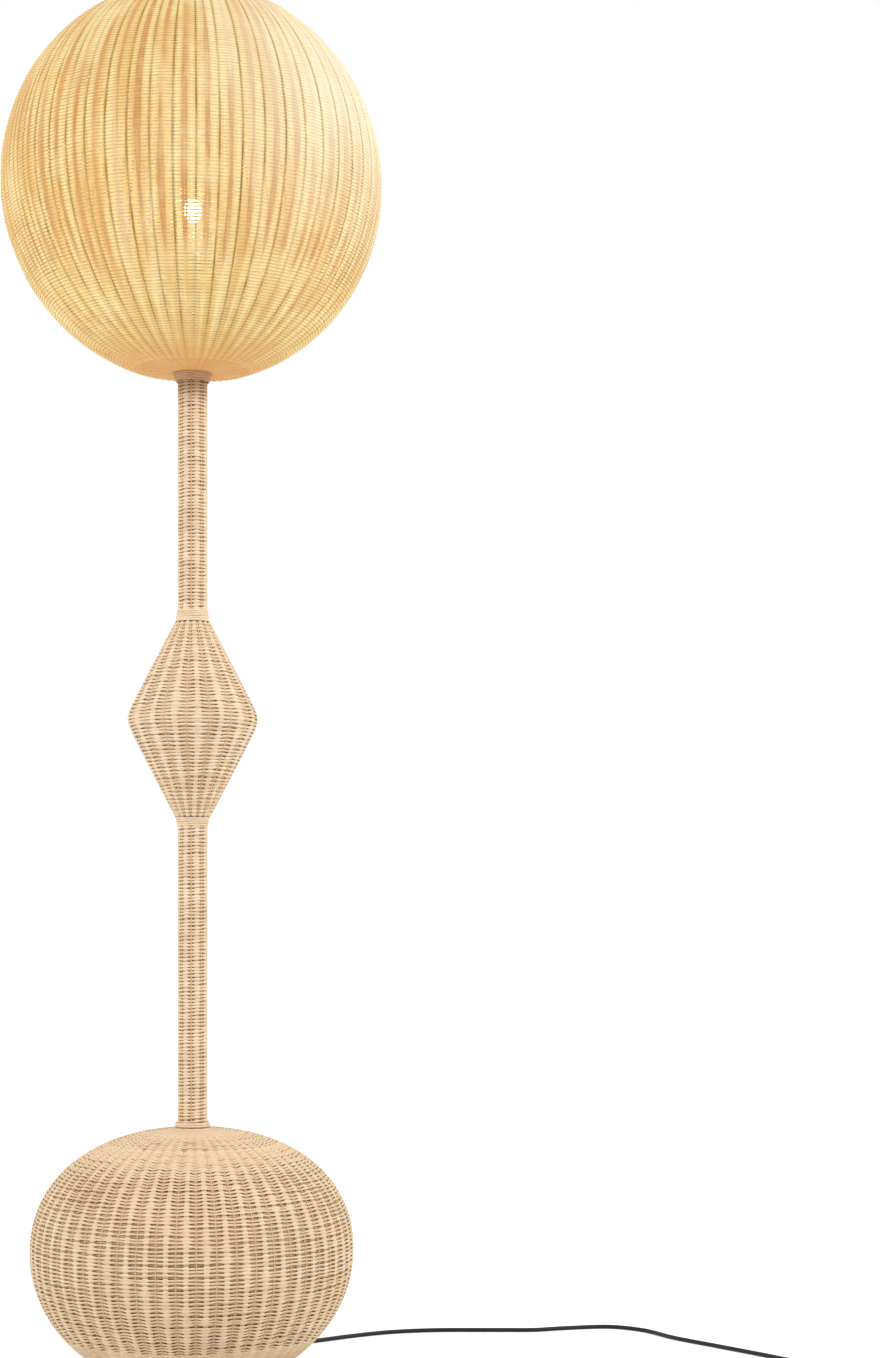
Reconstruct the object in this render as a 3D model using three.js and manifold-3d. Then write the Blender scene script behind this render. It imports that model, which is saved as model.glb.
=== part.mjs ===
// A floor lamp of woven rattan: a globe shade on a slim stem with a diamond knot, on a squashed ball base.
// Millimetres, +Z up. The origin is on the floor under the lamp's axis, and +Y points to its back.
import * as THREE from "three";
import { mergeVertices } from "three/addons/utils/BufferGeometryUtils.js";
import Module from "manifold-3d";

const wasm = await Module();
wasm.setup();

// Driving dimensions: clearances.
const gap = 0.3; // between pieces that touch
const overrun = 5; // how far a cutting shape passes what it cuts
const tallOverrun = 20; // the same, past a tall piece
const weld = 0.0001; // corners closer than this are one corner
const curveStep = 0.001; // between the points that give a curve's slope

// Driving dimensions: the globe shade.
const shadeRadius = 220;
const shadeHalfHeight = 224.5; // from its widest ring to where its outline would close
const shadePeriods = 54; // pairs of stakes round the globe
const shadeMouth = 68; // radius of the opening at the top and of the wound cap at the bottom
const shadeWall = 4;
const shadeRelief = 2; // how far the weave sinks in between two stake pairs
const shadeBorderRadius = 4.5;
const shadeCapThickness = 3.4;
const shadeCapSag = 4.8; // how far the middle of the cap hangs below its rim
const cageWire = 2; // radius of the wire inside the globe
const cageInset = 8; // from the top edge of the weave to the cage's top hoop
const spiderThickness = 2.5;
const spiderArmWidth = 8;
const spiderHubRadius = 16;

// Driving dimensions: the stem.
const tubeRadius = 12.7;
const tubeWall = 1.5;
const lowerTubeLength = 714.7;
const upperTubeLength = 392.5;
const sleeveWall = 4.6;
const sleeveRelief = 1.4;
const sleevePeriods = 8;
const sleeveTuck = 9; // how far the lower sleeve reaches down into the base
const joinerLength = 80;
const joinerBore = 7;
const knotRadius = 75.4;
const knotEndRadius = 20.5;
const knotHalfLength = 113;
const knotRounding = 5; // size of the round at the widest ring
const knotWall = 3.5;
const knotRelief = 2;
const knotPeriods = 17;
const knotWire = 2;
const knotHubWall = 2.5;
const knotHubHeight = 12;
const lowerCollarHeight = 10.5;
const upperCollarHeight = 14;
const collarWall = 4.9;
const collarFlare = 2.3; // how much wider a collar is at its knot end
const collarSoft = 1.4; // size of the soft edges of the collars
const flareRadius = 24; // the small woven flare under the globe
const flareHeight = 9.7;
const footRingWall = 3.4; // the small woven ring where the stem leaves the base
const footRingHeight = 6;

// Driving dimensions: the base.
const baseRadius = 187;
const baseEquator = 145; // height of the widest ring
const baseCrownRise = 143.8; // from the widest ring to the top of the crown
const baseCrownPower = 2.2; // the crown is a little fuller than an ellipse
const baseLipShare = 0.467; // radius of the lip at the floor, as a share of the base's
const baseLipHeight = 3.5;
const baseWall = 4;
const baseRelief = 2;
const basePeriods = 54;
const crownRadius = 99; // radius of the smooth wound part round the stem
const borderHeight = 50; // height of the smooth wound part above the floor
const baseWire = 2;
const padHeight = 3;
const padRadius = 9;
const padInset = 21; // from the rim of the plate to the middle of a pad
const plateThickness = 2;
const plateInset = 2.3; // from the rim of the woven lip to the rim of the plate
const weightHeight = 35;
const weightBoss = 6;
const weightBossRadius = 25;
const weightWeb = 6; // iron left over the recess for the nut
const weightRecess = 22;
const weightChamfer = 4;

// Driving dimensions: threaded pipe, nuts, washers and screws.
const pipeRadius = 5;
const washerRadius = 11;
const washerThickness = 1.5;
const nutFlats = 17; // across flats
const nutHeight = 6;
const plugLength = 20; // of the steel plugs in the ends of the tube
const basePipeLength = 36.5;
const riserLength = 107.5;
const riserDepth = 25; // how far the riser reaches down into the stem cap
const stemCapFlange = 3;
const stemCapNeck = 14.5;
const stemCapNeckRadius = 9;
const screwRadius = 2.2;
const screwHeadRadius = 4.5;
const screwHeadHeight = 2;
const screwLength = 12;
const screwInset = 35; // from the rim of the plate to the middle of a screw

// Driving dimensions: lampholder and bulb.
const holderRadius = 19.5;
const holderWall = 1.5;
const holderGrip = 10; // how far the riser reaches into the lampholder
const holderCapHeight = 20;
const holderShellHeight = 34;
const holderShellWall = 3.5;
const holderSkirt = 1.8; // the ring at the mouth of the lampholder
const coreHeight = 9;
const contactHeight = 2;
const contactRadius = 4;
const threadSleeveWall = 1;
const threadSleeveHeight = 22;
const bulbCapRadius = 13.2;
const bulbCapHeight = 25;
const bulbThreadPitch = 3.6;
const bulbThreadDepth = 0.6;
const bulbRadius = 30;
const bulbNeckRadius = 12.6;
const bulbLength = 105; // from the tip of its contact to the top of the glass
const neckEase = 5; // how softly the neck of the glass runs into its shoulder
const glassWall = 1;

// Driving dimensions: the lead, the cord, the gland, the foot switch and the plug.
const cordRadius = 2.75;
const cordLift = 0.05; // clear air between the cord and the floor
const leadClearance = 0.9;
const leadHeight = 12.5; // height of the lead where it runs out through the base
const leadBend = 16;
const exitTurn = 12; // degrees from straight back to where the cord leaves the base
const glandRadius = 6;
const glandBody = 27;
const glandNose = 26;
const glandNoseRadius = 3.6;
const switchPlaceX = 730; // the foot switch lies in front of the coil's height on the floor
const switchPlaceY = -68;
const coilPlaceY = -165;
const plugPlaceY = -117;
const cordDrop = [[37, 166, 8], [52, 186, 3.6]]; // from the gland down to the floor
const cordRoute = [ // on the floor, behind the base, out to the right and round to the foot switch
  [80, 193],
  [127, 214],
  [174, 250],
  [221, 279],
  [274.5, 294],
  [364.5, 296],
  [409.5, 297],
  [444, 309],
  [506, 320],
  [545, 296],
  [581, 238],
  [628, 180],
  [689, 104],
  [718, 62],
  [728, 30],
];
const cordRise = 18.7; // length over which the cord lifts off the floor into the switch
const coilMiddleRadius = 30.25;
const coilTurns = 4.5;
const coilSpacing = 0.5; // clear air between turns that lie side by side
const switchLength = 78;
const switchWidth = 44;
const switchBaseHeight = 8;
const switchCoverHeight = 11;
const switchWall = 2.2;
const switchRound = 4;
const switchStub = 12;
const switchStubRadius = 4.6;
const switchCordHeight = 6;
const buttonRadius = 11;
const buttonProud = 4;
const buttonTravel = 2.5;
const buttonFlange = 2;
const switchBlockLength = 34;
const switchBlockWidth = 24;
const plugLengthOut = 36; // length of the plug's body
const plugWidth = 33;
const plugThickness = 13.7;
const plugRound = 2.4;
const plugTaper = 12; // length over which the plug widens from its neck
const plugNeck = 16;
const plugNeckRadius = 4.6;
const pinRadius = 2;
const pinLength = 19;
const pinSpacing = 18.6;

// How finely round shapes are cut.
const wideSides = 30;
const tubeSides = 16;
const smallSides = 12;
const wireSides = 4;
const cordSides = 8;
const coilSides = 6;
const coilSteps = 24; // to a turn
const cordSteps = 66;
const shortCordSteps = 4;
const borderRowSteps = 2;
const weaveRowSteps = 6;
const cageRowSteps = 9;

// Materials, in the colours of the real lamp.
const finish = (color, roughness, metalness) =>
  new THREE.MeshStandardMaterial({ color, roughness, metalness });
const litRattan = finish(0xf8d894, 0.6, 0);
const rattan = finish(0xe3c9a2, 0.65, 0);
const steel = finish(0x9a9c9f, 0.35, 1);
const iron = finish(0x3b3c3e, 0.7, 0.6);
const brass = finish(0xb8923f, 0.35, 1);
const ceramic = finish(0xeae4d8, 0.4, 0);
const blackPlastic = finish(0x232427, 0.45, 0);
const rubber = finish(0x2a2a2c, 0.8, 0);
const opalGlass = finish(0xfff1d0, 0.2, 0);

// The lamp's pieces are gathered here as they are made.
const lamp = new THREE.Group();

function add(name, geometry, material, parent = lamp) {
  const mesh = new THREE.Mesh(geometry, material);
  mesh.name = name;
  parent.add(mesh);
  return mesh;
}

const range = (count) => Array.from({ length: count }, (_, i) => i);

// The numbers from first to last, count steps apart.
const even = (first, last, count) => range(count + 1).map((i) => first + ((last - first) * i) / count);

function signedVolume(geometry) {
  const corners = geometry.attributes.position;
  const index = geometry.index.array;
  const [a, b, c] = [new THREE.Vector3(), new THREE.Vector3(), new THREE.Vector3()];
  let sum = 0;
  for (let i = 0; i < index.length; i += 3) {
    a.fromBufferAttribute(corners, index[i]);
    b.fromBufferAttribute(corners, index[i + 1]);
    c.fromBufferAttribute(corners, index[i + 2]);
    sum += a.dot(b.cross(c));
  }
  return sum;
}

// Joins shared corners, drops triangles with no area and turns the faces outwards.
function closed(geometry) {
  const bare = geometry.clone();
  Object.keys(bare.attributes)
    .filter((name) => name !== "position")
    .forEach((name) => bare.deleteAttribute(name));
  const merged = mergeVertices(bare, weld);
  const old = merged.index.array;
  const kept = [];
  for (let i = 0; i < old.length; i += 3) {
    const [a, b, c] = [old[i], old[i + 1], old[i + 2]];
    if (a !== b && b !== c && c !== a) kept.push(a, b, c);
  }
  merged.setIndex(kept);
  if (signedVolume(merged) < 0) {
    const turned = [];
    for (let i = 0; i < kept.length; i += 3) turned.push(kept[i], kept[i + 2], kept[i + 1]);
    merged.setIndex(turned);
  }
  return merged;
}

function solidOf(geometry) {
  const shape = closed(geometry);
  return new wasm.Manifold(
    new wasm.Mesh({
      numProp: 3,
      vertProperties: new Float32Array(shape.attributes.position.array),
      triVerts: new Uint32Array(shape.index.array),
    }),
  );
}

function geometryOf(solid) {
  const mesh = solid.getMesh();
  const geometry = new THREE.BufferGeometry();
  geometry.setAttribute("position", new THREE.BufferAttribute(mesh.vertProperties, mesh.numProp));
  geometry.setIndex(new THREE.BufferAttribute(mesh.triVerts, 1));
  return geometry;
}

const join = (...geometries) => geometryOf(geometries.map(solidOf).reduce((sum, solid) => sum.add(solid)));
const cut = (geometry, ...cutters) =>
  geometryOf(cutters.map(solidOf).reduce((left, solid) => left.subtract(solid), solidOf(geometry)));

// A point at a radius, height and turn round the axis, counted from the front.
const around = (radius, height, turn) =>
  new THREE.Vector3(radius * Math.sin(turn), -radius * Math.cos(turn), height);

// A turned piece, from an outline of [radius, height] pairs.
function revolve(outline, sides) {
  const points = outline.map(([radius, height]) => new THREE.Vector2(radius, height));
  return closed(new THREE.LatheGeometry(points, sides).rotateX(Math.PI / 2));
}

// A turned ring of even bore: its outline closes on itself.
const ring = (inner, outer, low, high, sides) =>
  revolve([[inner, low], [outer, low], [outer, high], [inner, high], [inner, low]], sides);

// A closed skin over rings of points, with a fan at each end.
function skin(rings) {
  const across = rings[0].length;
  const corners = rings.flat();
  const middles = [rings[0], rings[rings.length - 1]].map((one) =>
    one.reduce((sum, p) => sum.add(p), new THREE.Vector3()).divideScalar(across),
  );
  const index = [];
  const lastRing = (rings.length - 1) * across;
  range(across).forEach((k) => {
    const next = (k + 1) % across;
    range(rings.length - 1).forEach((row) => {
      const low = row * across;
      const high = low + across;
      index.push(low + k, low + next, high + next, low + k, high + next, high + k);
    });
    index.push(corners.length, next, k);
    index.push(corners.length + 1, lastRing + k, lastRing + next);
  });
  const geometry = new THREE.BufferGeometry().setFromPoints([...corners, ...middles]);
  geometry.setIndex(index);
  return closed(geometry);
}

// A round rod through a list of points, its section carried along without twist.
function rod(points, radius, sides) {
  const last = points.length - 1;
  const along = points.map((_, i) =>
    points[Math.min(i + 1, last)].clone().sub(points[Math.max(i - 1, 0)]).normalize(),
  );
  const upright = Math.abs(along[0].z) < Math.SQRT1_2;
  let side = upright ? new THREE.Vector3(0, 0, 1) : new THREE.Vector3(1, 0, 0);
  const rings = points.map((point, i) => {
    side = side.clone().addScaledVector(along[i], -side.dot(along[i])).normalize();
    const other = along[i].clone().cross(side);
    return range(sides).map((k) => {
      const turn = (2 * Math.PI * k) / sides;
      return point
        .clone()
        .addScaledVector(side, radius * Math.cos(turn))
        .addScaledVector(other, radius * Math.sin(turn));
    });
  });
  return skin(rings);
}

// A wire ring round the axis, with its corners on the corners of a turned piece of as many sides.
function hoop(radius, height, wire, sides) {
  const torus = new THREE.TorusGeometry(radius, wire, wireSides, sides).rotateZ(-Math.PI / 2);
  return closed(torus.translate(0, 0, height));
}

// A hexagonal nut with a round bore.
function nut(low) {
  const outline = new THREE.Shape();
  const corner = nutFlats / 2 / Math.cos(Math.PI / 6);
  range(6).forEach((k) => {
    const turn = (Math.PI * k) / 3;
    const [x, y] = [corner * Math.cos(turn), corner * Math.sin(turn)];
    if (k === 0) outline.moveTo(x, y);
    else outline.lineTo(x, y);
  });
  outline.closePath();
  const bore = new THREE.Path().absarc(0, 0, pipeRadius + gap, 0, 2 * Math.PI, true);
  outline.holes.push(bore);
  const settings = { depth: nutHeight, bevelEnabled: false, curveSegments: smallSides / 2 };
  return closed(new THREE.ExtrudeGeometry(outline, settings).translate(0, 0, low));
}

// Moves a profile point inwards along its normal.
const inwards = (p, depth) => [p.r - p.nr * depth, p.z - p.nz * depth];

// The triangles between two rings of corners that start at the same turn, whatever their counts.
function band(lowStart, lowCount, highStart, highCount) {
  const index = [];
  let [low, high] = [0, 0];
  while (low < lowCount || high < highCount) {
    const [a, b] = [lowStart + (low % lowCount), highStart + (high % highCount)];
    if ((low + 1) * highCount <= (high + 1) * lowCount) {
      low += 1;
      index.push(a, lowStart + (low % lowCount), b);
    } else {
      high += 1;
      index.push(a, highStart + (high % highCount), b);
    }
  }
  return index;
}

// A woven shell whose stake pairs stand out as ribs: in each period, one column is sunk and one at the crest.
function ribbedShell(profile, wall, periods, relief, innerSides) {
  const columns = 2 * periods;
  const outside = profile.map((p) =>
    range(columns).map((k) => {
      const [radius, height] = inwards(p, k % 2 ? 0 : relief);
      return around(radius, height, (2 * Math.PI * k) / columns);
    }),
  );
  const inside = profile.map((p) =>
    range(innerSides).map((k) => around(...inwards(p, wall), (2 * Math.PI * k) / innerSides)),
  );
  const rings = [...outside, ...inside.reverse()];
  const starts = rings.map((_, i) => rings.slice(0, i).reduce((sum, one) => sum + one.length, 0));
  const index = rings.flatMap((one, i) => {
    const next = (i + 1) % rings.length;
    return band(starts[i], one.length, starts[next], rings[next].length);
  });
  const geometry = new THREE.BufferGeometry().setFromPoints(rings.flat());
  geometry.setIndex(index);
  return closed(geometry);
}

// A smooth wound shell of even wall.
function plainShell(profile, wall) {
  const outer = profile.map((p) => [p.r, p.z]);
  const inner = profile.map((p) => inwards(p, wall)).reverse();
  return revolve([...outer, ...inner, outer[0]], wideSides);
}

// A curve's point with its outward normal, from the curve's points on either side.
function profilePoint(curve, t) {
  const [r, z] = curve(t);
  const [r0, z0] = curve(t - curveStep);
  const [r1, z1] = curve(t + curveStep);
  const length = Math.hypot(r1 - r0, z1 - z0);
  return { r, z, nr: (z1 - z0) / length, nz: -(r1 - r0) / length };
}

// Heights up the stem, each from the piece below.
const plateTop = padHeight + plateThickness;
const weightTop = plateTop + weightHeight;
const tubeSeat = weightTop + weightBoss;
const lowerTubeTop = tubeSeat + lowerTubeLength;
const upperTubeBottom = lowerTubeTop + gap;
const upperTubeTop = upperTubeBottom + upperTubeLength;
const knotHeight = (lowerTubeTop + upperTubeBottom) / 2;
const knotBottom = knotHeight - knotHalfLength;
const knotTop = knotHeight + knotHalfLength;
const crownTop = baseEquator + baseCrownRise;
const sleeveBore = tubeRadius + gap;
const sleeveCrest = sleeveBore + sleeveWall;
const plugRadius = tubeRadius - tubeWall - gap;
const pipeBore = cordRadius + leadClearance;

// The base's outline: an ellipse below its widest ring and a fuller curve above, by the angle from that ring.
const baseLipRadius = baseLipShare * baseRadius;
const baseBellyDrop = (baseEquator - baseLipHeight) / Math.sqrt(1 - (baseLipRadius / baseRadius) ** 2);
const crownExponent = 2 / baseCrownPower;
function baseCurve(angle) {
  if (angle < 0) return [baseRadius * Math.cos(angle), baseEquator + baseBellyDrop * Math.sin(angle)];
  const radius = baseRadius * Math.cos(angle) ** crownExponent;
  return [radius, baseEquator + baseCrownRise * Math.sin(angle) ** crownExponent];
}
const crownAngle = (radius) => Math.acos((radius / baseRadius) ** (1 / crownExponent));
const bellyAngle = (height) => -Math.asin((baseEquator - height) / baseBellyDrop);
const baseSeam = gap / baseRadius;
const borderRows = even(bellyAngle(baseLipHeight), bellyAngle(borderHeight) - baseSeam, borderRowSteps);
const weaveRows = even(bellyAngle(borderHeight), crownAngle(crownRadius), weaveRowSteps);
const frameDepth = baseWall + gap + baseWire;
const frameRingAngle = crownAngle(sleeveCrest + 2 * frameDepth);
const crownRows = [
  ...even(crownAngle(crownRadius) + baseSeam, frameRingAngle, borderRowSteps),
  crownAngle(sleeveCrest + gap),
];
const baseProfile = (rows) => rows.map((angle) => profilePoint(baseCurve, angle));

// The gland and its hole lie along this line, out through the back of the base.
const exitAngle = Math.PI - THREE.MathUtils.degToRad(exitTurn);
const plateRadius = baseLipRadius - plateInset;
const frameFoot = plateRadius - 2 * baseWire + gap;
const glandStart = frameFoot + baseWire + gap;
const alongExit = (geometry) => geometry.rotateX(-Math.PI / 2).rotateZ(-THREE.MathUtils.degToRad(exitTurn));

// Base: the woven side, the wound crown round the stem and the wound border at the floor.
add("base_weave", ribbedShell(baseProfile(weaveRows), baseWall, basePeriods, baseRelief, wideSides), rattan);
add("base_crown", plainShell(baseProfile(crownRows), baseWall), rattan);
const glandHole = alongExit(
  new THREE.CylinderGeometry(glandRadius + gap, glandRadius + gap, glandBody + glandNose, smallSides)
    .rotateX(Math.PI / 2)
    .translate(0, 0, glandStart + (glandBody + glandNose) / 2),
).translate(0, 0, leadHeight);
add("base_border", cut(plainShell(baseProfile(borderRows), baseWall), glandHole), rattan);

// Base: the welded wire frame that the weave is built on, standing on the steel plate.
const frameRows = [...borderRows.slice(1), ...weaveRows, ...crownRows.slice(0, -1)];
const framePath = [
  [frameFoot, plateTop + gap + baseWire],
  ...baseProfile(frameRows).map((p) => inwards(p, frameDepth)),
];
const [frameTopRadius, frameTopHeight] = framePath[framePath.length - 1];
const baseRibs = range(6).map((k) =>
  rod(framePath.map(([r, z]) => around(r, z, (Math.PI * k) / 3)), baseWire, wireSides),
);
add(
  "base_frame",
  join(
    hoop(frameFoot, framePath[0][1], baseWire, wideSides),
    hoop(frameTopRadius, frameTopHeight, baseWire, wideSides),
    ...baseRibs,
  ),
  steel,
);

// Base: rubber pads, plate and screws, with the plate's holes for them.
const screwCircle = plateRadius - screwInset;
const screwTurns = range(3).map((k) => (2 * Math.PI * k) / 3 + Math.PI / 6);
const screwHole = (low, high, turn) =>
  ring(0, screwRadius + gap, low, high, smallSides).translate(...around(screwCircle, 0, turn).toArray());
add(
  "base_plate",
  cut(
    revolve([[0, padHeight], [plateRadius, padHeight], [plateRadius, plateTop], [0, plateTop]], wideSides),
    ...screwTurns.map((turn) => screwHole(padHeight - overrun, plateTop + overrun, turn)),
  ),
  steel,
);
const padCircle = plateRadius - padInset;
range(4).forEach((k) => {
  const pad = revolve([[0, 0], [padRadius, 0], [padRadius, padHeight], [0, padHeight]], smallSides);
  add(`rubber_pad_${k + 1}`, pad, rubber).position.copy(around(padCircle, 0, (Math.PI * k) / 2));
});
screwTurns.forEach((turn, k) => {
  const headLow = padHeight - screwHeadHeight;
  const outline = [
    [0, headLow],
    [screwHeadRadius, headLow],
    [screwHeadRadius, padHeight],
    [screwRadius, padHeight],
    [screwRadius, padHeight + screwLength],
    [0, padHeight + screwLength],
  ];
  const screw = add(`plate_screw_${k + 1}`, revolve(outline, smallSides), steel);
  screw.position.copy(around(screwCircle, 0, turn));
});

// Base: the cast weight, with a recess for the nut and a groove for the lead on its underside.
const weightRadius = frameFoot - baseWire - gap;
const recessTop = weightTop - weightWeb;
const weightOutline = [
  [weightRecess, plateTop],
  [weightRadius, plateTop],
  [weightRadius, weightTop - weightChamfer],
  [weightRadius - weightChamfer, weightTop],
  [weightBossRadius, weightTop],
  [weightBossRadius - weightChamfer, tubeSeat],
  [pipeRadius + gap, tubeSeat],
  [pipeRadius + gap, recessTop],
  [weightRecess, recessTop],
  [weightRecess, plateTop],
];
const grooveWidth = 2 * (cordRadius + leadClearance);
const grooveTop = leadHeight + cordRadius + leadClearance;
const groove = alongExit(
  new THREE.BoxGeometry(grooveWidth, 2 * grooveTop, weightRadius + overrun)
    .translate(0, 0, (weightRadius + overrun) / 2),
);
const weightHoles = screwTurns.map((turn) => screwHole(0, padHeight + screwLength + gap, turn));
add("counterweight", cut(revolve(weightOutline, wideSides), groove, ...weightHoles), iron);

// Base: the washer and nut that draw the stem down on the weight, and the threaded pipe they turn on.
const washerLow = recessTop - washerThickness;
const nutLow = washerLow - nutHeight;
const basePipeLow = nutLow - screwHeadHeight / 2;
add("base_washer", ring(pipeRadius + gap, washerRadius, washerLow, recessTop, smallSides), steel);
add("base_nut", nut(nutLow), steel);
add("base_pipe", ring(pipeBore, pipeRadius, basePipeLow, basePipeLow + basePipeLength, smallSides), steel);

// Stem: two steel tubes, the plug at the foot and the joiner inside the knot.
const tube = (low, high) => ring(tubeRadius - tubeWall, tubeRadius, low, high, tubeSides);
add("lower_tube", tube(tubeSeat, lowerTubeTop), steel);
add("upper_tube", tube(upperTubeBottom, upperTubeTop), steel);
add("tube_plug", ring(pipeRadius + gap, plugRadius, tubeSeat, tubeSeat + plugLength, tubeSides), steel);
const joinerLow = knotHeight - joinerLength / 2;
add("tube_joiner", ring(joinerBore, plugRadius, joinerLow, joinerLow + joinerLength, tubeSides), steel);

// Stem: woven sleeves, with a rib to each of eight stake pairs.
function sleeve(low, high) {
  const outline = new THREE.Shape();
  const columns = 2 * sleevePeriods;
  range(columns).forEach((k) => {
    const p = around(sleeveCrest - (k % 2 ? 0 : sleeveRelief), 0, (2 * Math.PI * k) / columns);
    if (k === 0) outline.moveTo(p.x, p.y);
    else outline.lineTo(p.x, p.y);
  });
  outline.closePath();
  const bore = new THREE.Path();
  range(tubeSides).forEach((k) => {
    const p = around(sleeveBore, 0, (-2 * Math.PI * k) / tubeSides);
    if (k === 0) bore.moveTo(p.x, p.y);
    else bore.lineTo(p.x, p.y);
  });
  bore.closePath();
  outline.holes.push(bore);
  const settings = { depth: high - low, bevelEnabled: false };
  return closed(new THREE.ExtrudeGeometry(outline, settings).translate(0, 0, low));
}
const lowerCollarTop = knotBottom - gap;
const lowerCollarLow = lowerCollarTop - lowerCollarHeight;
const upperCollarLow = knotTop + gap;
const upperCollarTop = upperCollarLow + upperCollarHeight;
add("lower_stem_weave", sleeve(crownTop - sleeveTuck, lowerCollarLow - gap), rattan);
add("upper_stem_weave", sleeve(upperCollarTop + gap, upperTubeTop - gap), rattan);

// Stem: the wound collars on either side of the knot, wider towards it, each with soft edges.
const collarRadius = sleeveBore + collarWall;
function collar(low, high, lowRadius, highRadius) {
  const outline = [
    [sleeveBore, low],
    [lowRadius - collarSoft, low],
    [lowRadius, low + collarSoft],
    [highRadius, high - collarSoft],
    [highRadius - collarSoft, high],
    [sleeveBore, high],
    [sleeveBore, low],
  ];
  return revolve(outline, tubeSides);
}
add("lower_collar", collar(lowerCollarLow, lowerCollarTop, collarRadius, collarRadius + collarFlare), rattan);
add("upper_collar", collar(upperCollarLow, upperCollarTop, collarRadius + collarFlare, collarRadius), rattan);

// Stem: the small woven ring on the crown, and the flare under the globe.
const ringBore = sleeveCrest + gap;
const footRingLow = crownTop + gap;
const footRingTop = footRingLow + footRingHeight;
add("foot_ring", ring(ringBore, ringBore + footRingWall, footRingLow, footRingTop, tubeSides), rattan);

// Knot: its outline is a hyperbola, nearly straight up both flanks and round at the widest ring.
const knotRun = Math.sqrt((knotRadius - knotEndRadius + knotRounding) ** 2 - knotRounding ** 2);
const knotSlope = knotRun / knotHalfLength;
function knotCurve(height) {
  const radius = knotRadius + knotRounding - Math.hypot(knotRounding, knotSlope * height);
  return [radius, knotHeight + height];
}
const knotShares = [-1, -0.35, -0.1, 0, 0.1, 0.35, 1];
const knotProfile = knotShares.map((share) => profilePoint(knotCurve, share * knotHalfLength));
add("knot_weave", ribbedShell(knotProfile, knotWall, knotPeriods, knotRelief, tubeSides), rattan);

// Knot: a wire hoop on four spokes holds it out, welded to a hub round the tube's joint.
const knotHoop = knotRadius - knotWall - 2 * gap - knotWire;
const hubRadius = sleeveBore + knotHubWall;
const hubLow = knotHeight - knotHubHeight / 2;
const spokeRadii = [hubRadius - knotHubWall / 2, knotHoop];
const spoke = (turn) =>
  rod(spokeRadii.map((radius) => around(radius, knotHeight, turn)), knotWire, wireSides);
add(
  "knot_frame",
  join(
    ring(sleeveBore, hubRadius, hubLow, hubLow + knotHubHeight, tubeSides),
    hoop(knotHoop, knotHeight, knotWire, tubeSides),
    ...range(4).map((k) => spoke((Math.PI * k) / 2)),
  ),
  steel,
);

// Stem cap: a plug in the tube, a flange on its end and a neck that carries the globe's spider.
const flangeTop = upperTubeTop + stemCapFlange;
const neckTop = flangeTop + stemCapNeck;
const stemCapOutline = [
  [pipeRadius + gap, upperTubeTop - plugLength],
  [plugRadius, upperTubeTop - plugLength],
  [plugRadius, upperTubeTop],
  [sleeveCrest - sleeveRelief, upperTubeTop],
  [sleeveCrest - sleeveRelief, flangeTop],
  [stemCapNeckRadius, flangeTop],
  [stemCapNeckRadius, neckTop],
  [pipeRadius + gap, neckTop],
  [pipeRadius + gap, upperTubeTop - plugLength],
];
add("stem_cap", revolve(stemCapOutline, tubeSides), steel);

// Globe: its outline is nearly a circle, and its height follows from the spider's ring, set on the neck.
const spiderTop = neckTop + spiderThickness;
const spiderMiddle = (neckTop + spiderTop) / 2;
const cageDepth = shadeWall + gap + cageWire;
const mouthAngle = Math.asin(shadeMouth / shadeRadius);
const shadeCurve = (angle) => [shadeRadius * Math.sin(angle), -shadeHalfHeight * Math.cos(angle)];
const shadeHeight = spiderMiddle - inwards(profilePoint(shadeCurve, mouthAngle), cageDepth)[1];
function shadePoint(angle) {
  const p = profilePoint(shadeCurve, angle);
  return { ...p, z: p.z + shadeHeight };
}
const shadeTopAngle = Math.PI - mouthAngle - (shadeBorderRadius + gap) / shadeRadius;
const cageTopAngle = shadeTopAngle - cageInset / shadeRadius;
const cageAngles = even(mouthAngle, cageTopAngle, cageRowSteps);
const shadeProfile = [...cageAngles, shadeTopAngle].map(shadePoint);
add("shade_weave", ribbedShell(shadeProfile, shadeWall, shadePeriods, shadeRelief, wideSides), litRattan);

// Globe: the rolled border round the opening at the top.
const borderCentre = inwards(shadePoint(Math.PI - mouthAngle), shadeWall / 2);
add(
  "shade_border",
  closed(
    new THREE.TorusGeometry(borderCentre[0], shadeBorderRadius, coilSides, wideSides)
      .translate(0, 0, borderCentre[1]),
  ),
  litRattan,
);

// Globe: the wound cap at the bottom, which hangs a little in the middle.
const mouthPoint = shadePoint(mouthAngle);
const capRim = inwards(mouthPoint, shadeWall)[0] - gap;
const capBore = stemCapNeckRadius + gap;
const capRimHeight = mouthPoint.z;
const capHeight = (radius) => capRimHeight - shadeCapSag * (1 - (radius / capRim) ** 2);
const capRadii = even(capBore, capRim, borderRowSteps);
const capOutline = [
  ...capRadii.map((radius) => [radius, capHeight(radius)]),
  ...capRadii.map((radius) => [radius, capHeight(radius) + shadeCapThickness]).reverse(),
  [capBore, capHeight(capBore)],
];
add("shade_bottom_cap", revolve(capOutline, wideSides), litRattan);

const flareTop = capHeight(capBore) - gap;
const flareOutline = [
  [ringBore, flareTop - flareHeight],
  [ringBore + sleeveRelief, flareTop - flareHeight],
  [(ringBore + flareRadius) / 2, flareTop - flareHeight / 2],
  [flareRadius, flareTop],
  [ringBore, flareTop],
  [ringBore, flareTop - flareHeight],
];
add("stem_flare", revolve(flareOutline, tubeSides), rattan);

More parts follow.
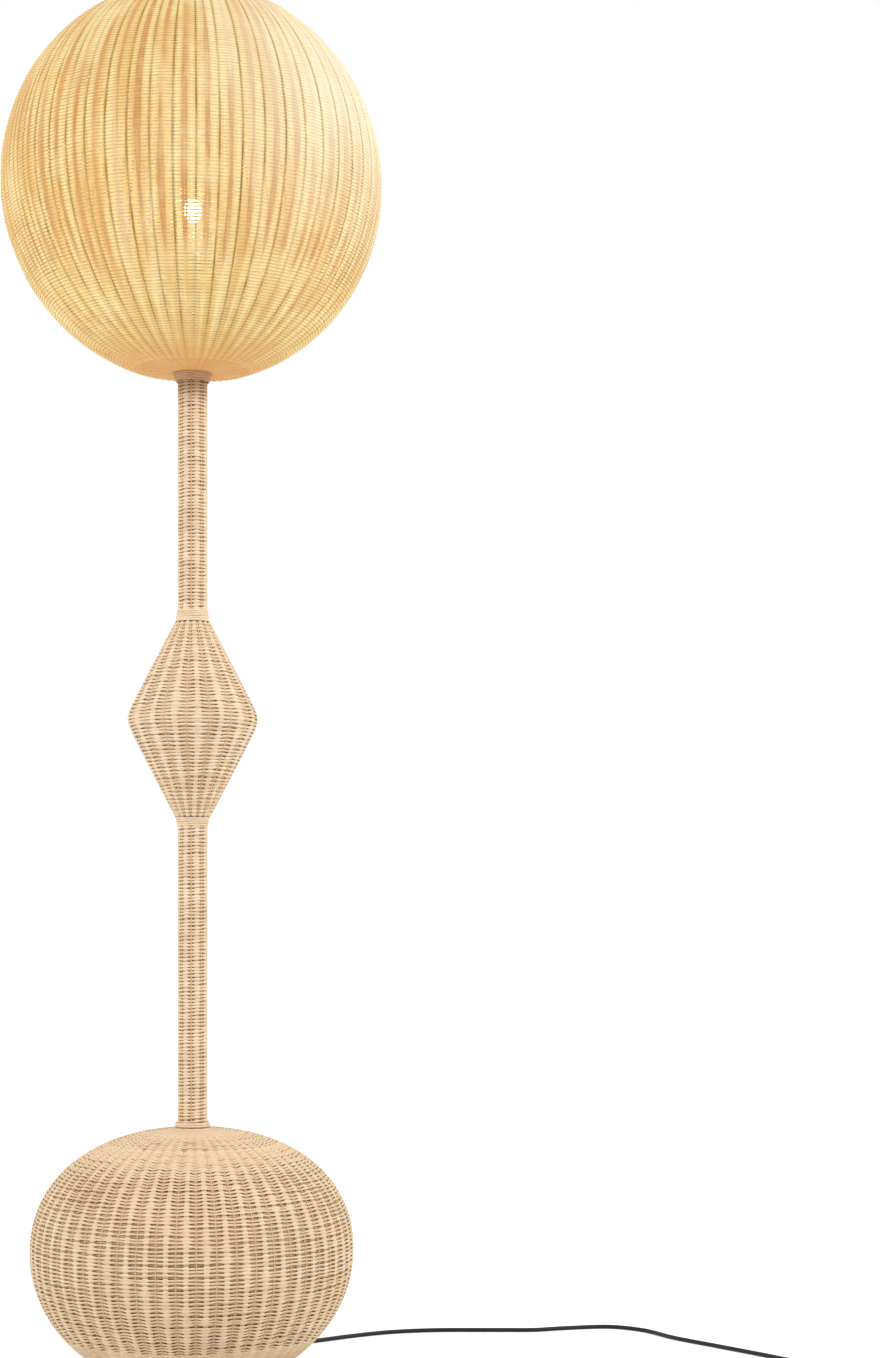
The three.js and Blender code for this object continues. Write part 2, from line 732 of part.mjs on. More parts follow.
// Globe: the wire cage, welded to the spider at its bottom ring.
const cagePath = cageAngles.map((angle) => inwards(shadePoint(angle), cageDepth));
const [cageFoot] = cagePath[0];
const cageHead = cagePath[cagePath.length - 1];
const arm = (turn) =>
  new THREE.BoxGeometry(spiderArmWidth, cageFoot, spiderThickness)
    .translate(0, -cageFoot / 2, spiderMiddle)
    .rotateZ(turn);
const spiderBlank = join(
  ring(pipeRadius + gap, spiderHubRadius, neckTop, spiderTop, tubeSides),
  hoop(cageFoot, spiderMiddle, cageWire, wideSides),
  hoop(...cageHead, cageWire, wideSides),
  ...range(3).map((k) => arm((2 * Math.PI * k) / 3)),
  ...range(6).map((k) =>
    rod(cagePath.map(([r, z]) => around(r, z, (Math.PI * k) / 3)), cageWire, wireSides),
  ),
);
const spiderBore = ring(0, pipeRadius + gap, neckTop - overrun, spiderTop + overrun, tubeSides);
add("shade_frame", cut(spiderBlank, spiderBore), steel);

// The washer and nut that hold the globe down, and the threaded riser to the lampholder.
const shadeNutLow = spiderTop + washerThickness;
add("shade_washer", ring(pipeRadius + gap, washerRadius, spiderTop, shadeNutLow, smallSides), steel);
add("shade_nut", nut(shadeNutLow), steel);
const riserLow = neckTop - riserDepth;
const riserTop = riserLow + riserLength;
add("riser_pipe", ring(pipeBore, pipeRadius, riserLow, riserTop, smallSides), steel);

// Lampholder: a domed cap, a shell with a ring at its mouth, the ceramic core, its contact and sleeve.
const holderLow = riserTop - holderGrip;
const holderJoint = holderLow + holderCapHeight;
const domeShares = [0.25, 0.45, 0.8];
const domeRadii = [stemCapNeckRadius, (stemCapNeckRadius + holderRadius) / 2, holderRadius];
const domeOuter = domeShares.map((share, i) => [domeRadii[i], holderLow + share * holderCapHeight]);
const domeInner = domeOuter.map(([radius, height]) => [radius - holderWall, height + holderWall]).reverse();
const holderCapOutline = [
  [pipeRadius + gap, holderLow],
  [domeRadii[0], holderLow],
  ...domeOuter,
  [holderRadius, holderJoint],
  [holderRadius - holderWall, holderJoint],
  ...domeInner,
  [pipeRadius + gap, domeInner[2][1]],
  [pipeRadius + gap, holderLow],
];
add("lampholder_cap", revolve(holderCapOutline, tubeSides), blackPlastic);
const shellLow = holderJoint + gap;
const shellTop = shellLow + holderShellHeight;
const shellBore = holderRadius - holderShellWall;
const shellOutline = [
  [shellBore, shellLow],
  [holderRadius, shellLow],
  [holderRadius, shellTop - 2 * holderSkirt],
  [holderRadius + holderSkirt, shellTop - holderSkirt],
  [holderRadius, shellTop],
  [shellBore, shellTop],
  [shellBore, shellLow],
];
add("lampholder_shell", revolve(shellOutline, tubeSides), blackPlastic);
const coreRadius = shellBore - gap;
const coreTop = shellLow + coreHeight;
const cylinder = (radius, low, high) =>
  revolve([[0, low], [radius, low], [radius, high], [0, high]], tubeSides);
add("lampholder_core", cylinder(coreRadius, shellLow, coreTop), ceramic);
add("lampholder_contact", cylinder(contactRadius, coreTop, coreTop + contactHeight), brass);
const threadTop = coreTop + threadSleeveHeight;
add("thread_sleeve", ring(coreRadius - threadSleeveWall, coreRadius, coreTop, threadTop, tubeSides), brass);

// Bulb: the screw cap with its rolled thread, and the opal glass, open at the neck inside the cap.
const bulbLow = coreTop + contactHeight + gap;
const bulbTop = bulbLow + bulbLength;
const bulbCapTop = bulbLow + bulbCapHeight;
const threadLow = bulbLow + 2 * bulbThreadPitch;
const threadTurns = Math.floor((bulbCapTop - threadLow) / bulbThreadPitch);
const threadOutline = range(threadTurns).flatMap((k) => [
  [bulbCapRadius, threadLow + bulbThreadPitch * k],
  [bulbCapRadius - bulbThreadDepth, threadLow + bulbThreadPitch * (k + 1 / 2)],
]);
const bulbCapOutline = [
  [0, bulbLow],
  [contactRadius, bulbLow],
  [bulbCapRadius - bulbThreadPitch, bulbLow + bulbThreadPitch],
  [bulbCapRadius - bulbThreadDepth, bulbLow + bulbThreadPitch],
  ...threadOutline,
  [bulbCapRadius - bulbThreadDepth, bulbCapTop],
  [0, bulbCapTop],
];
add("bulb_cap", revolve(bulbCapOutline, smallSides), brass);
const bulbCentre = bulbTop - bulbRadius;
const neckLow = bulbCapTop + gap;
const shoulderTurn = -Math.PI / 4;
function glassOutline(inset) {
  const radius = bulbRadius - inset;
  const shoulder = [radius * Math.cos(shoulderTurn), bulbCentre + radius * Math.sin(shoulderTurn)];
  const neck = new THREE.CubicBezierCurve(
    new THREE.Vector2(bulbNeckRadius - inset, neckLow),
    new THREE.Vector2(bulbNeckRadius - inset, (neckLow + shoulder[1]) / 2),
    new THREE.Vector2(shoulder[0] - neckEase, shoulder[1] - neckEase),
    new THREE.Vector2(...shoulder),
  );
  const globe = even(shoulderTurn, Math.PI / 2, 4).slice(1);
  return [
    ...neck.getPoints(3).map((p) => [p.x, p.y]),
    ...globe.map((turn) => [Math.max(0, radius * Math.cos(turn)), bulbCentre + radius * Math.sin(turn)]),
  ];
}
const glassRing = [...glassOutline(0), ...glassOutline(glassWall).reverse(), glassOutline(0)[0]];
add("bulb_glass", revolve(glassRing, tubeSides), opalGlass);

// Lead: down the pipes and tubes from the lampholder, round a bend under the weight and out to the gland.
const bendTop = leadHeight + leadBend;
const leadRun = (distance) => around(distance, leadHeight, exitAngle);
const bendPoints = even(0, Math.PI / 2, 6).map((turn) =>
  around(leadBend * (1 - Math.cos(turn)), bendTop - leadBend * Math.sin(turn), exitAngle),
);
const leadPoints = [new THREE.Vector3(0, 0, shellLow - gap), ...bendPoints, leadRun(glandStart - gap)];
add("inner_lead", rod(leadPoints, cordRadius, cordSides), blackPlastic);

// Gland: a plastic bush through the border with a tapered nose, which the cord comes out of.
const glandEnd = glandBody + glandNose;
const glandOutline = [
  [0, 0],
  [glandRadius, 0],
  [glandRadius, glandBody],
  [glandRadius - gap, glandBody + gap],
  [glandNoseRadius, glandEnd],
  [0, glandEnd],
];
const glandShape = alongExit(revolve(glandOutline, smallSides).translate(0, 0, glandStart));
add("cord_gland", glandShape.translate(0, 0, leadHeight), blackPlastic);

// Cord: the places of the switch, the coil and the plug on the floor, and the route between them.
const cordRest = cordRadius + cordLift; // height of the cord's middle where it lies on the floor
const switchPlace = new THREE.Vector3(switchPlaceX, switchPlaceY, 0);
const switchReach = switchLength / 2 + switchStub;
const coilPitch = 2 * cordRadius + coilSpacing;
const coilOuterRadius = coilMiddleRadius + (coilPitch * coilTurns) / 4;
const coilPlace = new THREE.Vector3(switchPlace.x - coilOuterRadius, coilPlaceY, cordRest);
const coilEnd = 2 * cordRadius; // the straight end of the coil's tube
const plugHeight = plugThickness / 2;
const plugPlace = new THREE.Vector3(coilPlace.x - coilOuterRadius, plugPlaceY, plugHeight);
const exitStart = leadRun(glandStart + glandEnd + gap);
const exitStraight = leadRun(glandStart + glandEnd + gap + coilEnd);
const switchIn = switchPlace.y + switchReach + gap;
const cordPoints = [
  exitStart,
  exitStraight,
  ...cordDrop.map((point) => new THREE.Vector3(...point)),
  ...cordRoute.map(([x, y]) => new THREE.Vector3(x, y, cordRest)),
  new THREE.Vector3(switchPlace.x, switchIn + cordRise, (cordRest + switchCordHeight) / 2),
  new THREE.Vector3(switchPlace.x, switchIn + coilEnd, switchCordHeight),
  new THREE.Vector3(switchPlace.x, switchIn, switchCordHeight),
];
function cordTube(points, steps) {
  const section = new THREE.Shape();
  range(cordSides).forEach((k) => {
    const turn = (2 * Math.PI * k) / cordSides;
    const [x, y] = [cordRadius * Math.cos(turn), cordRadius * Math.sin(turn)];
    if (k === 0) section.moveTo(x, y);
    else section.lineTo(x, y);
  });
  section.closePath();
  const extrudePath = new THREE.CatmullRomCurve3(points, false, "centripetal");
  return closed(new THREE.ExtrudeGeometry(section, { steps, extrudePath, bevelEnabled: false }));
}
add("cord_to_switch", cordTube(cordPoints, cordSteps), rubber);
const coilStart = coilPlace.clone().add(new THREE.Vector3(coilOuterRadius, coilEnd + gap, 0));
const switchOut = switchPlace.y - switchReach - gap;
const linkMiddle = (switchOut + coilStart.y) / 2;
const linkPoints = [
  new THREE.Vector3(coilStart.x, switchOut, switchCordHeight),
  new THREE.Vector3(coilStart.x, switchOut - coilEnd, switchCordHeight),
  new THREE.Vector3(coilStart.x, linkMiddle, (switchCordHeight + cordRest) / 2),
  new THREE.Vector3(coilStart.x, coilStart.y + coilEnd, cordRest),
  coilStart,
];
add("cord_to_coil", cordTube(linkPoints, shortCordSteps), rubber);

// Coil: spirals in along the floor and out again on top, and climbs in the half turn where it reverses.
const reversal = coilTurns / 2;
const coilInnerRadius = coilOuterRadius - coilPitch * reversal;
const climbTurns = 1 / 2;
function coilPoint(turns) {
  const radius = coilInnerRadius + coilPitch * Math.abs(turns - reversal);
  const climb = THREE.MathUtils.smoothstep(turns, reversal - climbTurns / 2, reversal + climbTurns / 2);
  const turn = -2 * Math.PI * turns;
  const offset = new THREE.Vector3(radius * Math.cos(turn), radius * Math.sin(turn), climb * coilPitch);
  return offset.add(coilPlace);
}
const turnPoints = even(0, coilTurns, coilTurns * coilSteps).map(coilPoint);
const straightIn = turnPoints[0].clone().add(new THREE.Vector3(0, coilEnd, 0));
const straightOut = turnPoints[turnPoints.length - 1].clone().add(new THREE.Vector3(0, coilEnd, 0));
add("cord_coil", rod([straightIn, ...turnPoints, straightOut], cordRadius, coilSides), rubber);

// The least clear air between two stretches of the coil that are a half turn or more apart.
function leastGap(points, apart) {
  let least = Infinity;
  points.forEach((p, i) => {
    points.slice(i + apart).forEach((q) => {
      least = Math.min(least, p.distanceTo(q) - 2 * cordRadius);
    });
  });
  return least;
}
console.log(`coil: least gap to itself ${leastGap(turnPoints, coilSteps / 2).toFixed(2)} mm`);

const plugLeadEnd = plugPlace.clone().sub(new THREE.Vector3(0, gap, 0));
const plugLeadPoints = [
  straightOut.clone().add(new THREE.Vector3(0, gap, 0)),
  straightOut.clone().add(new THREE.Vector3(0, gap + coilEnd, 0)),
  straightOut.clone().lerp(plugLeadEnd, 1 / 2),
  plugLeadEnd.clone().sub(new THREE.Vector3(0, coilEnd, 0)),
  plugLeadEnd,
];
add("cord_to_plug", cordTube(plugLeadPoints, shortCordSteps), rubber);

// A flat outline with round ends, its length along Y.
function oval(length, width) {
  const outline = new THREE.Shape();
  const straight = (length - width) / 2;
  outline.absarc(0, straight, width / 2, 0, Math.PI, false);
  outline.absarc(0, -straight, width / 2, Math.PI, 2 * Math.PI, false);
  outline.closePath();
  return outline;
}
function slab(outline, low, high) {
  const settings = { depth: high - low, bevelEnabled: false, curveSegments: smallSides / 2 };
  return new THREE.ExtrudeGeometry(outline, settings).translate(0, 0, low);
}

// Foot switch: a tray and a rounded cover, the button that the foot presses and the contact block under it.
const footSwitch = new THREE.Group();
footSwitch.position.copy(switchPlace);
lamp.add(footSwitch);
const stubs = new THREE.CylinderGeometry(switchStubRadius, switchStubRadius, 2 * switchReach, smallSides)
  .translate(0, 0, switchCordHeight);
const trayInner = oval(switchLength - 2 * switchWall, switchWidth - 2 * switchWall);
const trayInside = slab(trayInner, switchWall, tallOverrun);
const stubsOutside = cut(stubs, slab(oval(switchLength - switchWall, switchWidth), -overrun, tallOverrun));
const tray = cut(slab(oval(switchLength, switchWidth), 0, switchBaseHeight), trayInside);
const trayWithStubs = solidOf(tray).add(solidOf(stubsOutside));
const coverLow = switchBaseHeight + gap;
const coverTop = coverLow + switchCoverHeight;
const stubTrim = slab(oval(switchLength + overrun, switchWidth), switchBaseHeight, tallOverrun);
add("switch_tray", geometryOf(trayWithStubs.subtract(solidOf(stubTrim))), blackPlastic, footSwitch);
const coverSettings = {
  depth: switchCoverHeight - switchRound,
  bevelThickness: switchRound,
  bevelSize: switchRound,
  bevelSegments: 2,
  curveSegments: smallSides / 2,
};
const coverBlank = new THREE.ExtrudeGeometry(
  oval(switchLength - 2 * switchRound, switchWidth - 2 * switchRound),
  coverSettings,
).translate(0, 0, coverLow);
const coverInside = slab(
  oval(switchLength - 2 * switchRound - switchWall, switchWidth - 2 * switchRound - switchWall),
  coverLow - switchRound,
  coverTop - switchWall,
);
const aroundCover = oval(switchLength + overrun, switchWidth + overrun);
const belowCover = slab(aroundCover, coverLow - 2 * switchRound, coverLow);
const buttonHole = cylinder(buttonRadius + gap, coverTop - 2 * switchWall, coverTop + overrun);
add("switch_cover", cut(coverBlank, coverInside, belowCover, buttonHole), blackPlastic, footSwitch);
const flangeUnder = coverTop - switchWall - gap;
const buttonLow = flangeUnder - buttonFlange;
const buttonTop = coverTop + buttonProud;
const buttonOutline = [
  [0, buttonLow],
  [buttonRadius + buttonFlange, buttonLow],
  [buttonRadius + buttonFlange, flangeUnder],
  [buttonRadius, flangeUnder],
  [buttonRadius, buttonTop - buttonFlange],
  [buttonRadius - buttonFlange, buttonTop - gap],
  [0, buttonTop],
];
add("switch_button", revolve(buttonOutline, tubeSides), rubber, footSwitch);
const blockTop = buttonLow - buttonTravel - gap;
const block = new THREE.BoxGeometry(switchBlockWidth, switchBlockLength, blockTop - switchWall)
  .translate(0, 0, (blockTop + switchWall) / 2);
add("switch_block", closed(block), blackPlastic, footSwitch);

// Plug: a flat moulded body that narrows to the cord, with two round pins.
const plug = new THREE.Group();
plug.position.copy(plugPlace);
lamp.add(plug);
const plugShoulder = plugNeck + plugTaper;
const plugEnd = plugNeck + plugLengthOut;
const halfWidth = plugWidth / 2 - plugRound;
const plugOutline = new THREE.Shape();
plugOutline.moveTo(plugNeckRadius, plugNeck);
plugOutline.quadraticCurveTo(halfWidth, plugNeck, halfWidth, plugShoulder);
plugOutline.lineTo(halfWidth, plugEnd - plugRound);
plugOutline.lineTo(-halfWidth, plugEnd - plugRound);
plugOutline.lineTo(-halfWidth, plugShoulder);
plugOutline.quadraticCurveTo(-halfWidth, plugNeck, -plugNeckRadius, plugNeck);
plugOutline.closePath();
const plugBody = new THREE.ExtrudeGeometry(plugOutline, {
  depth: plugThickness - 2 * plugRound,
  bevelThickness: plugRound,
  bevelSize: plugRound,
  bevelSegments: 2,
  curveSegments: 4,
}).translate(0, 0, plugRound - plugHeight);
const plugNeckShape = new THREE.CylinderGeometry(plugNeckRadius, cordRadius, plugNeck, smallSides)
  .translate(0, plugNeck / 2, 0);
add("plug_body", join(plugBody, plugNeckShape), blackPlastic, plug);
[-1, 1].forEach((side, k) => {
  const pinEnds = [plugEnd + gap, plugEnd + pinLength];
  const pinPoints = pinEnds.map((y) => new THREE.Vector3((side * pinSpacing) / 2, y, 0));
  add(`plug_pin_${k + 1}`, rod(pinPoints, pinRadius, smallSides / 2), brass, plug);
});

export default lamp;
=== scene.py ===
import math

import bpy
import numpy as np
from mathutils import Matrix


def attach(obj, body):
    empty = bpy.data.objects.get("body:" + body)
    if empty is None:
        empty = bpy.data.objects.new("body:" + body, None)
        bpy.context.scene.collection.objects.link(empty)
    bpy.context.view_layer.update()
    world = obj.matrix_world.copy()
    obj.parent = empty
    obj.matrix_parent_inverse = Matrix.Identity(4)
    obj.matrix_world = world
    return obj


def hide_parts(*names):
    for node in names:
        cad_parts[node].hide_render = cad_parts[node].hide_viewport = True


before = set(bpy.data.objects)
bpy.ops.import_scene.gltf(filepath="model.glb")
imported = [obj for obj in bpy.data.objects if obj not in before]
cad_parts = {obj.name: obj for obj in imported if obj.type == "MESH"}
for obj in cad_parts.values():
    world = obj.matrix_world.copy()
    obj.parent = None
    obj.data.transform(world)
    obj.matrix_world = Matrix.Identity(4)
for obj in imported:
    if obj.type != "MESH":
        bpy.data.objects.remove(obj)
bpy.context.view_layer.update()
scene = bpy.context.scene
scene.view_settings.view_transform = "Standard"

# Camera. It stands level in front of the lamp, a little to its right, and looks straight back,
# with the frame shifted up as in the photograph, so that upright lines stay upright.
photo_height = 1358
focal_length = 2500
horizon_row = 905
camera = bpy.data.objects.new("camera", bpy.data.cameras.new("camera"))
camera.data.sensor_width = 36
camera.data.lens = camera.data.sensor_width * focal_length / photo_height
camera.data.shift_y = (horizon_row - photo_height / 2) / photo_height
camera.data.clip_end = 60
camera.location = (0.287, -2.9, 0.546)
camera.rotation_euler = (math.pi / 2, 0, 0)
scene.collection.objects.link(camera)
scene.camera = camera

# Studio. A wide white floor under an even white sky, with a large softbox in front on each side.
# The floor and the sky are white to the camera and in reflections, and the floor keeps the lamp's shadow.


def feed(tree, made, inputs):
    """Gives a shader node its inputs. Each is a value, or the socket that feeds it."""
    for name, value in inputs.items():
        if isinstance(value, bpy.types.NodeSocket):
            tree.links.new(value, made.inputs[name])
        else:
            made.inputs[name].default_value = value


def node(tree, kind, inputs=None, **settings):
    """A shader node of a kind, with its settings and its inputs."""
    made = tree.nodes.new(kind)
    for name, value in settings.items():
        setattr(made, name, value)
    feed(tree, made, inputs or {})
    return made


def worked(tree, operation, *values):
    """The value that a named operation, such as "MULTIPLY", makes of one or two others."""
    return node(tree, "ShaderNodeMath", dict(enumerate(values)), operation=operation).outputs[0]


def between(tree, value, low, high, out_low=0.0, out_high=1.0):
    """A value carried from one range to another, and held inside it."""
    ends = {"Value": value, "From Min": low, "From Max": high, "To Min": out_low, "To Max": out_high}
    return node(tree, "ShaderNodeMapRange", ends).outputs[0]


def seen_directly(tree):
    """1 for a ray from the camera, and for one by way of metal or glass, else 0."""
    path = node(tree, "ShaderNodeLightPath").outputs
    mirrored = worked(tree, "MAXIMUM", path["Is Camera Ray"], path["Is Glossy Ray"])
    return worked(tree, "MAXIMUM", mirrored, path["Is Transmission Ray"])


def new_finish(name):
    """A new material, with its node tree and its shader."""
    made = bpy.data.materials.new(name)
    made.use_nodes = True
    return made, made.node_tree, made.node_tree.nodes["Principled BSDF"]


white = (1, 1, 1, 1)
sky_light = 0.76
sky = bpy.data.worlds.new("studio_sky")
sky.use_nodes = True
sky_tree = sky.node_tree
sky_strength = between(sky_tree, seen_directly(sky_tree), 0, 1, sky_light, 1)
feed(sky_tree, sky_tree.nodes["Background"], {"Color": white, "Strength": sky_strength})
scene.world = sky

floor_reach, floor_tone, floor_glow = 30, 0.8, 0.46
floor_mesh = bpy.data.meshes.new("floor")
floor_corners = [(x * floor_reach, y * floor_reach, 0) for x, y in ((-1, -1), (1, -1), (1, 1), (-1, 1))]
floor_mesh.from_pydata(floor_corners, [], [(0, 1, 2, 3)])
floor = bpy.data.objects.new("floor", floor_mesh)
scene.collection.objects.link(floor)
floor_white, floor_tree, floor_shader = new_finish("floor_white")
feed(floor_tree, floor_shader, {
    "Base Color": (floor_tone, floor_tone, floor_tone, 1), "Roughness": 1, "Specular IOR Level": 0,
    "Emission Color": white,
    "Emission Strength": between(floor_tree, seen_directly(floor_tree), 0, 1, 0, floor_glow),
})
floor_mesh.materials.append(floor_white)


def softbox(name, place, aim, size, watts):
    """A square lamp at a place, turned so that it faces its aim."""
    lamp = bpy.data.lights.new(name, "AREA")
    lamp.size = size
    lamp.energy = watts
    box = bpy.data.objects.new(name, lamp)
    box.location = place
    away = np.subtract(place, aim)
    flat = math.hypot(away[0], away[1])
    box.rotation_euler = (math.atan2(flat, away[2]), 0, math.atan2(away[0], -away[1]))
    scene.collection.objects.link(box)


softbox("left_box", (-3.2, -2.5, 2.2), (0, 0, 0.8), 2.6, 76)
softbox("right_box", (3.7, -1.1, 2.8), (0, 0, 1.2), 2.2, 90)

# Cord. A round black mains cord leaves the base at the back, lies out to the right in a loose curve,
# passes through the foot switch and ends in a coil held by its own stiffness, with the plug beside it.
mm = 0.001
cord_radius, cord_rest, cord_clear, cord_in_gland = 2.75 * mm, 2.8 * mm, 0.3 * mm, 20 * mm
exit_turn = math.pi - math.radians(12)
lead_height = 12.5 * mm
gland_start, gland_body, gland_nose = 83.63 * mm, 27 * mm, 26 * mm
gland_end = gland_start + gland_body + gland_nose
switch_place = np.array([730, -68, 0]) * mm
switch_reach, switch_cord_height, switch_ramp = 51 * mm, 6 * mm, 18.7 * mm
coil_turns, coil_steps = 4.5, 40
coil_pitch, coil_outer = 6 * mm, 37 * mm
coil_place = np.array([693 * mm, -165 * mm, cord_rest])
coil_straight = 5.5 * mm
coil_climb_from, coil_climb_over = 2, 0.5
plug_place = np.array([656, -117, 6.85]) * mm
cord_drop = np.array([[37, 166, 8], [52, 186, 3.6]]) * mm
cord_route = np.array([
    [80, 193], [127, 214], [174, 250], [221, 279], [274.5, 294], [364.5, 296], [409.5, 297], [444, 309],
    [506, 320], [545, 296], [581, 238], [628, 180], [689, 104], [718, 62], [728, 30],
]) * mm
cord_route = np.c_[cord_route, np.full(len(cord_route), cord_rest)]


def around(radius, height, turn):
    """Points at a radius and height, turned about the lamp's axis from the front towards the right."""
    return np.stack(np.broadcast_arrays(radius * np.sin(turn), -radius * np.cos(turn), height), axis=-1)


def smooth_through(points, spacing):
    """A centripetal Catmull-Rom curve through points, sampled about every spacing along it. In each
    stretch the four points round it are blended two by two, three times over, by their knots."""
    held = np.vstack([2 * points[0] - points[1], points, 2 * points[-1] - points[-2]])
    knots = np.concatenate([[0], np.cumsum(np.sqrt(np.linalg.norm(np.diff(held, axis=0), axis=1)))])
    blends = ((0, 1), (1, 2), (2, 3)), ((0, 2), (1, 3)), ((1, 2),)
    stretches = []
    for i in range(1, len(held) - 2):
        count = max(2, round(np.linalg.norm(held[i + 1] - held[i]) / spacing))
        t = np.linspace(knots[i], knots[i + 1], count, endpoint=False)[:, None]
        knot, blended = knots[i - 1:i + 3], held[i - 1:i + 3]
        for pairs in blends:
            blended = [
                ((knot[b] - t) * blended[j] + (t - knot[a]) * blended[j + 1]) / (knot[b] - knot[a])
                for j, (a, b) in enumerate(pairs)
            ]
        stretches.append(blended[0])
    return np.vstack([*stretches, points[-1:]])


exit_point = around(gland_end + cord_clear, lead_height, exit_turn)
exit_straight = around(gland_end + cord_clear + coil_straight, lead_height, exit_turn)
switch_in = switch_place + [0, switch_reach + cord_clear, switch_cord_height]
switch_out = switch_place + [0, -switch_reach - cord_clear, switch_cord_height]
cord_rise = [0, switch_ramp, (cord_rest - switch_cord_height) / 2]
inside_gland = around(gland_end - cord_in_gland, lead_height, exit_turn)
to_switch = smooth_through(
    np.vstack([
        exit_point, exit_straight, cord_drop, cord_route,
        switch_in + cord_rise, switch_in + [0, coil_straight, 0], switch_in,
    ]),
    5 * mm,
)
coil_at = np.linspace(0, coil_turns, round(coil_turns * coil_steps) + 1)
coil_radius = coil_outer - coil_pitch * (coil_turns / 2 - np.abs(coil_at - coil_turns / 2))
climb_share = np.clip((coil_at - coil_climb_from) / coil_climb_over, 0, 1)
coil_climb = coil_pitch * climb_share ** 2 * (3 - 2 * climb_share)
coil = coil_place + np.stack([
    coil_radius * np.cos(2 * np.pi * coil_at),
    -coil_radius * np.sin(2 * np.pi * coil_at),
    coil_climb,
], axis=1)
coil_in = coil[0] + [0, coil_straight, 0]
coil_out = coil[-1] + [0, coil_straight, 0]
link_middle = [coil_in[0], (switch_out[1] + coil_in[1]) / 2, (switch_cord_height + cord_rest) / 2]
switch_straight_out = switch_out - [0, coil_straight, 0]
to_coil = smooth_through(np.array([switch_out, switch_straight_out, link_middle, coil_in]), 4 * mm)
plug_straight_in = plug_place - [0, coil_straight, 0]
plug_lead = smooth_through(
    np.array([coil_out, (coil_out + plug_place) / 2, plug_straight_in, plug_place]), 4 * mm
)
inside_switch = np.linspace(switch_in, switch_out, 22)[1:-1]
cord_path = np.vstack([inside_gland, to_switch, inside_switch, to_coil, coil[1:-1], plug_lead])
cord_curve = bpy.data.curves.new("mains_cord", "CURVE")
cord_curve.dimensions = "3D"
cord_curve.bevel_depth = cord_radius
cord_curve.bevel_resolution = 3
cord_curve.use_fill_caps = True
cord_line = cord_curve.splines.new("POLY")
cord_line.points.add(len(cord_path) - 1)
cord_line.points.foreach_set("co", np.c_[cord_path, np.ones(len(cord_path))].ravel())
cord_line.use_smooth = True
mains_cord = bpy.data.objects.new("mains_cord", cord_curve)
scene.collection.objects.link(mains_cord)


def in_light(red, green, blue):
    """A colour written as on a screen, from 0 to 255, in the linear values that shaders take."""
    share = np.array([red, green, blue]) / 255
    low, high = share / 12.92, ((share + 0.055) / 1.055) ** 2.4
    return (*np.where(share < 0.04045, low, high).tolist(), 1)


def mix_colours(tree, share, first, second):
    """The colour that a share of 0 to 1 picks between two colours or colour sockets."""
    return node(tree, "ShaderNodeMix", {0: share, 6: first, 7: second}, data_type="RGBA").outputs[2]


def clouds(tree, place, scale, detail=3.0, stretch=(1, 1, 1), shift=(0, 0, 0)):
    """Cloudy noise from 0 to 1, stretched along the axes of its coordinates."""
    laid = node(tree, "ShaderNodeMapping", {"Vector": place, "Scale": stretch, "Location": shift})
    noise = {"Vector": laid.outputs[0], "Scale": scale, "Detail": detail}
    return node(tree, "ShaderNodeTexNoise", noise).outputs[0]


def moulding(name, colour, roughness, grain, depth, metal=0.0, specular=0.5):
    """A plain hard finish on Object coordinates: a fine grain that lifts the surface, and slow changes
    of tone and polish over it, as on a moulded, cast or plated piece."""
    made, tree, shader = new_finish(name)
    place = node(tree, "ShaderNodeTexCoord").outputs["Object"]
    slow = clouds(tree, place, grain / 20)
    dark = (*(0.7 * part for part in colour[:3]), 1)
    light = (*(min(1, 1.25 * part + 0.003) for part in colour[:3]), 1)
    relief = {"Height": clouds(tree, place, grain, 5), "Distance": depth, "Strength": 0.7}
    feed(tree, shader, {
        "Base Color": mix_colours(tree, slow, dark, light),
        "Roughness": between(tree, slow, 0.3, 0.7, roughness - 0.08, roughness + 0.1),
        "Normal": node(tree, "ShaderNodeBump", relief).outputs[0],
        "Metallic": metal, "Specular IOR Level": specular,
    })
    return made


black_sheath = moulding("black_sheath", in_light(38, 38, 39), 0.42, 900, 0.06 * mm, specular=0.2)
cord_curve.materials.append(black_sheath)
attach(mains_cord, "lamp")
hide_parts("cord_to_switch", "cord_to_coil", "cord_coil", "cord_to_plug")

# Gland. A black bush through the wound border holds the cord, with a flange against the rattan
# and a ribbed nose that tapers onto the cord, moulded in one piece.
exit_direction = around(1, 0, exit_turn)
gland_foot = around(gland_start, lead_height, exit_turn)
nose_rings, nose_wide, nose_narrow, nose_groove = 7, 5.3 * mm, 3.7 * mm, 0.55 * mm
nose_at = np.linspace(0, 1, 4 * nose_rings + 1)
grooved = np.where(np.arange(len(nose_at)) % 4 < 2, 0, nose_groove)
nose_radius = nose_wide + (nose_narrow - nose_wide) * nose_at - grooved
nose_height = gland_body + 1 * mm + nose_at * (gland_nose - 1 * mm)
gland_profile = np.array([
    [5.4, 0], [6, 0.6], [6, 21], [8.4, 21.2], [8.8, 21.8], [8.8, 23.4], [8.2, 24.2], [6.4, 24.6], [6, 27],
]) * mm
gland_profile = np.vstack([gland_profile, np.c_[nose_radius, nose_height]])
black_shell = moulding("black_shell", in_light(34, 34, 36), 0.5, 2600, 0.05 * mm)


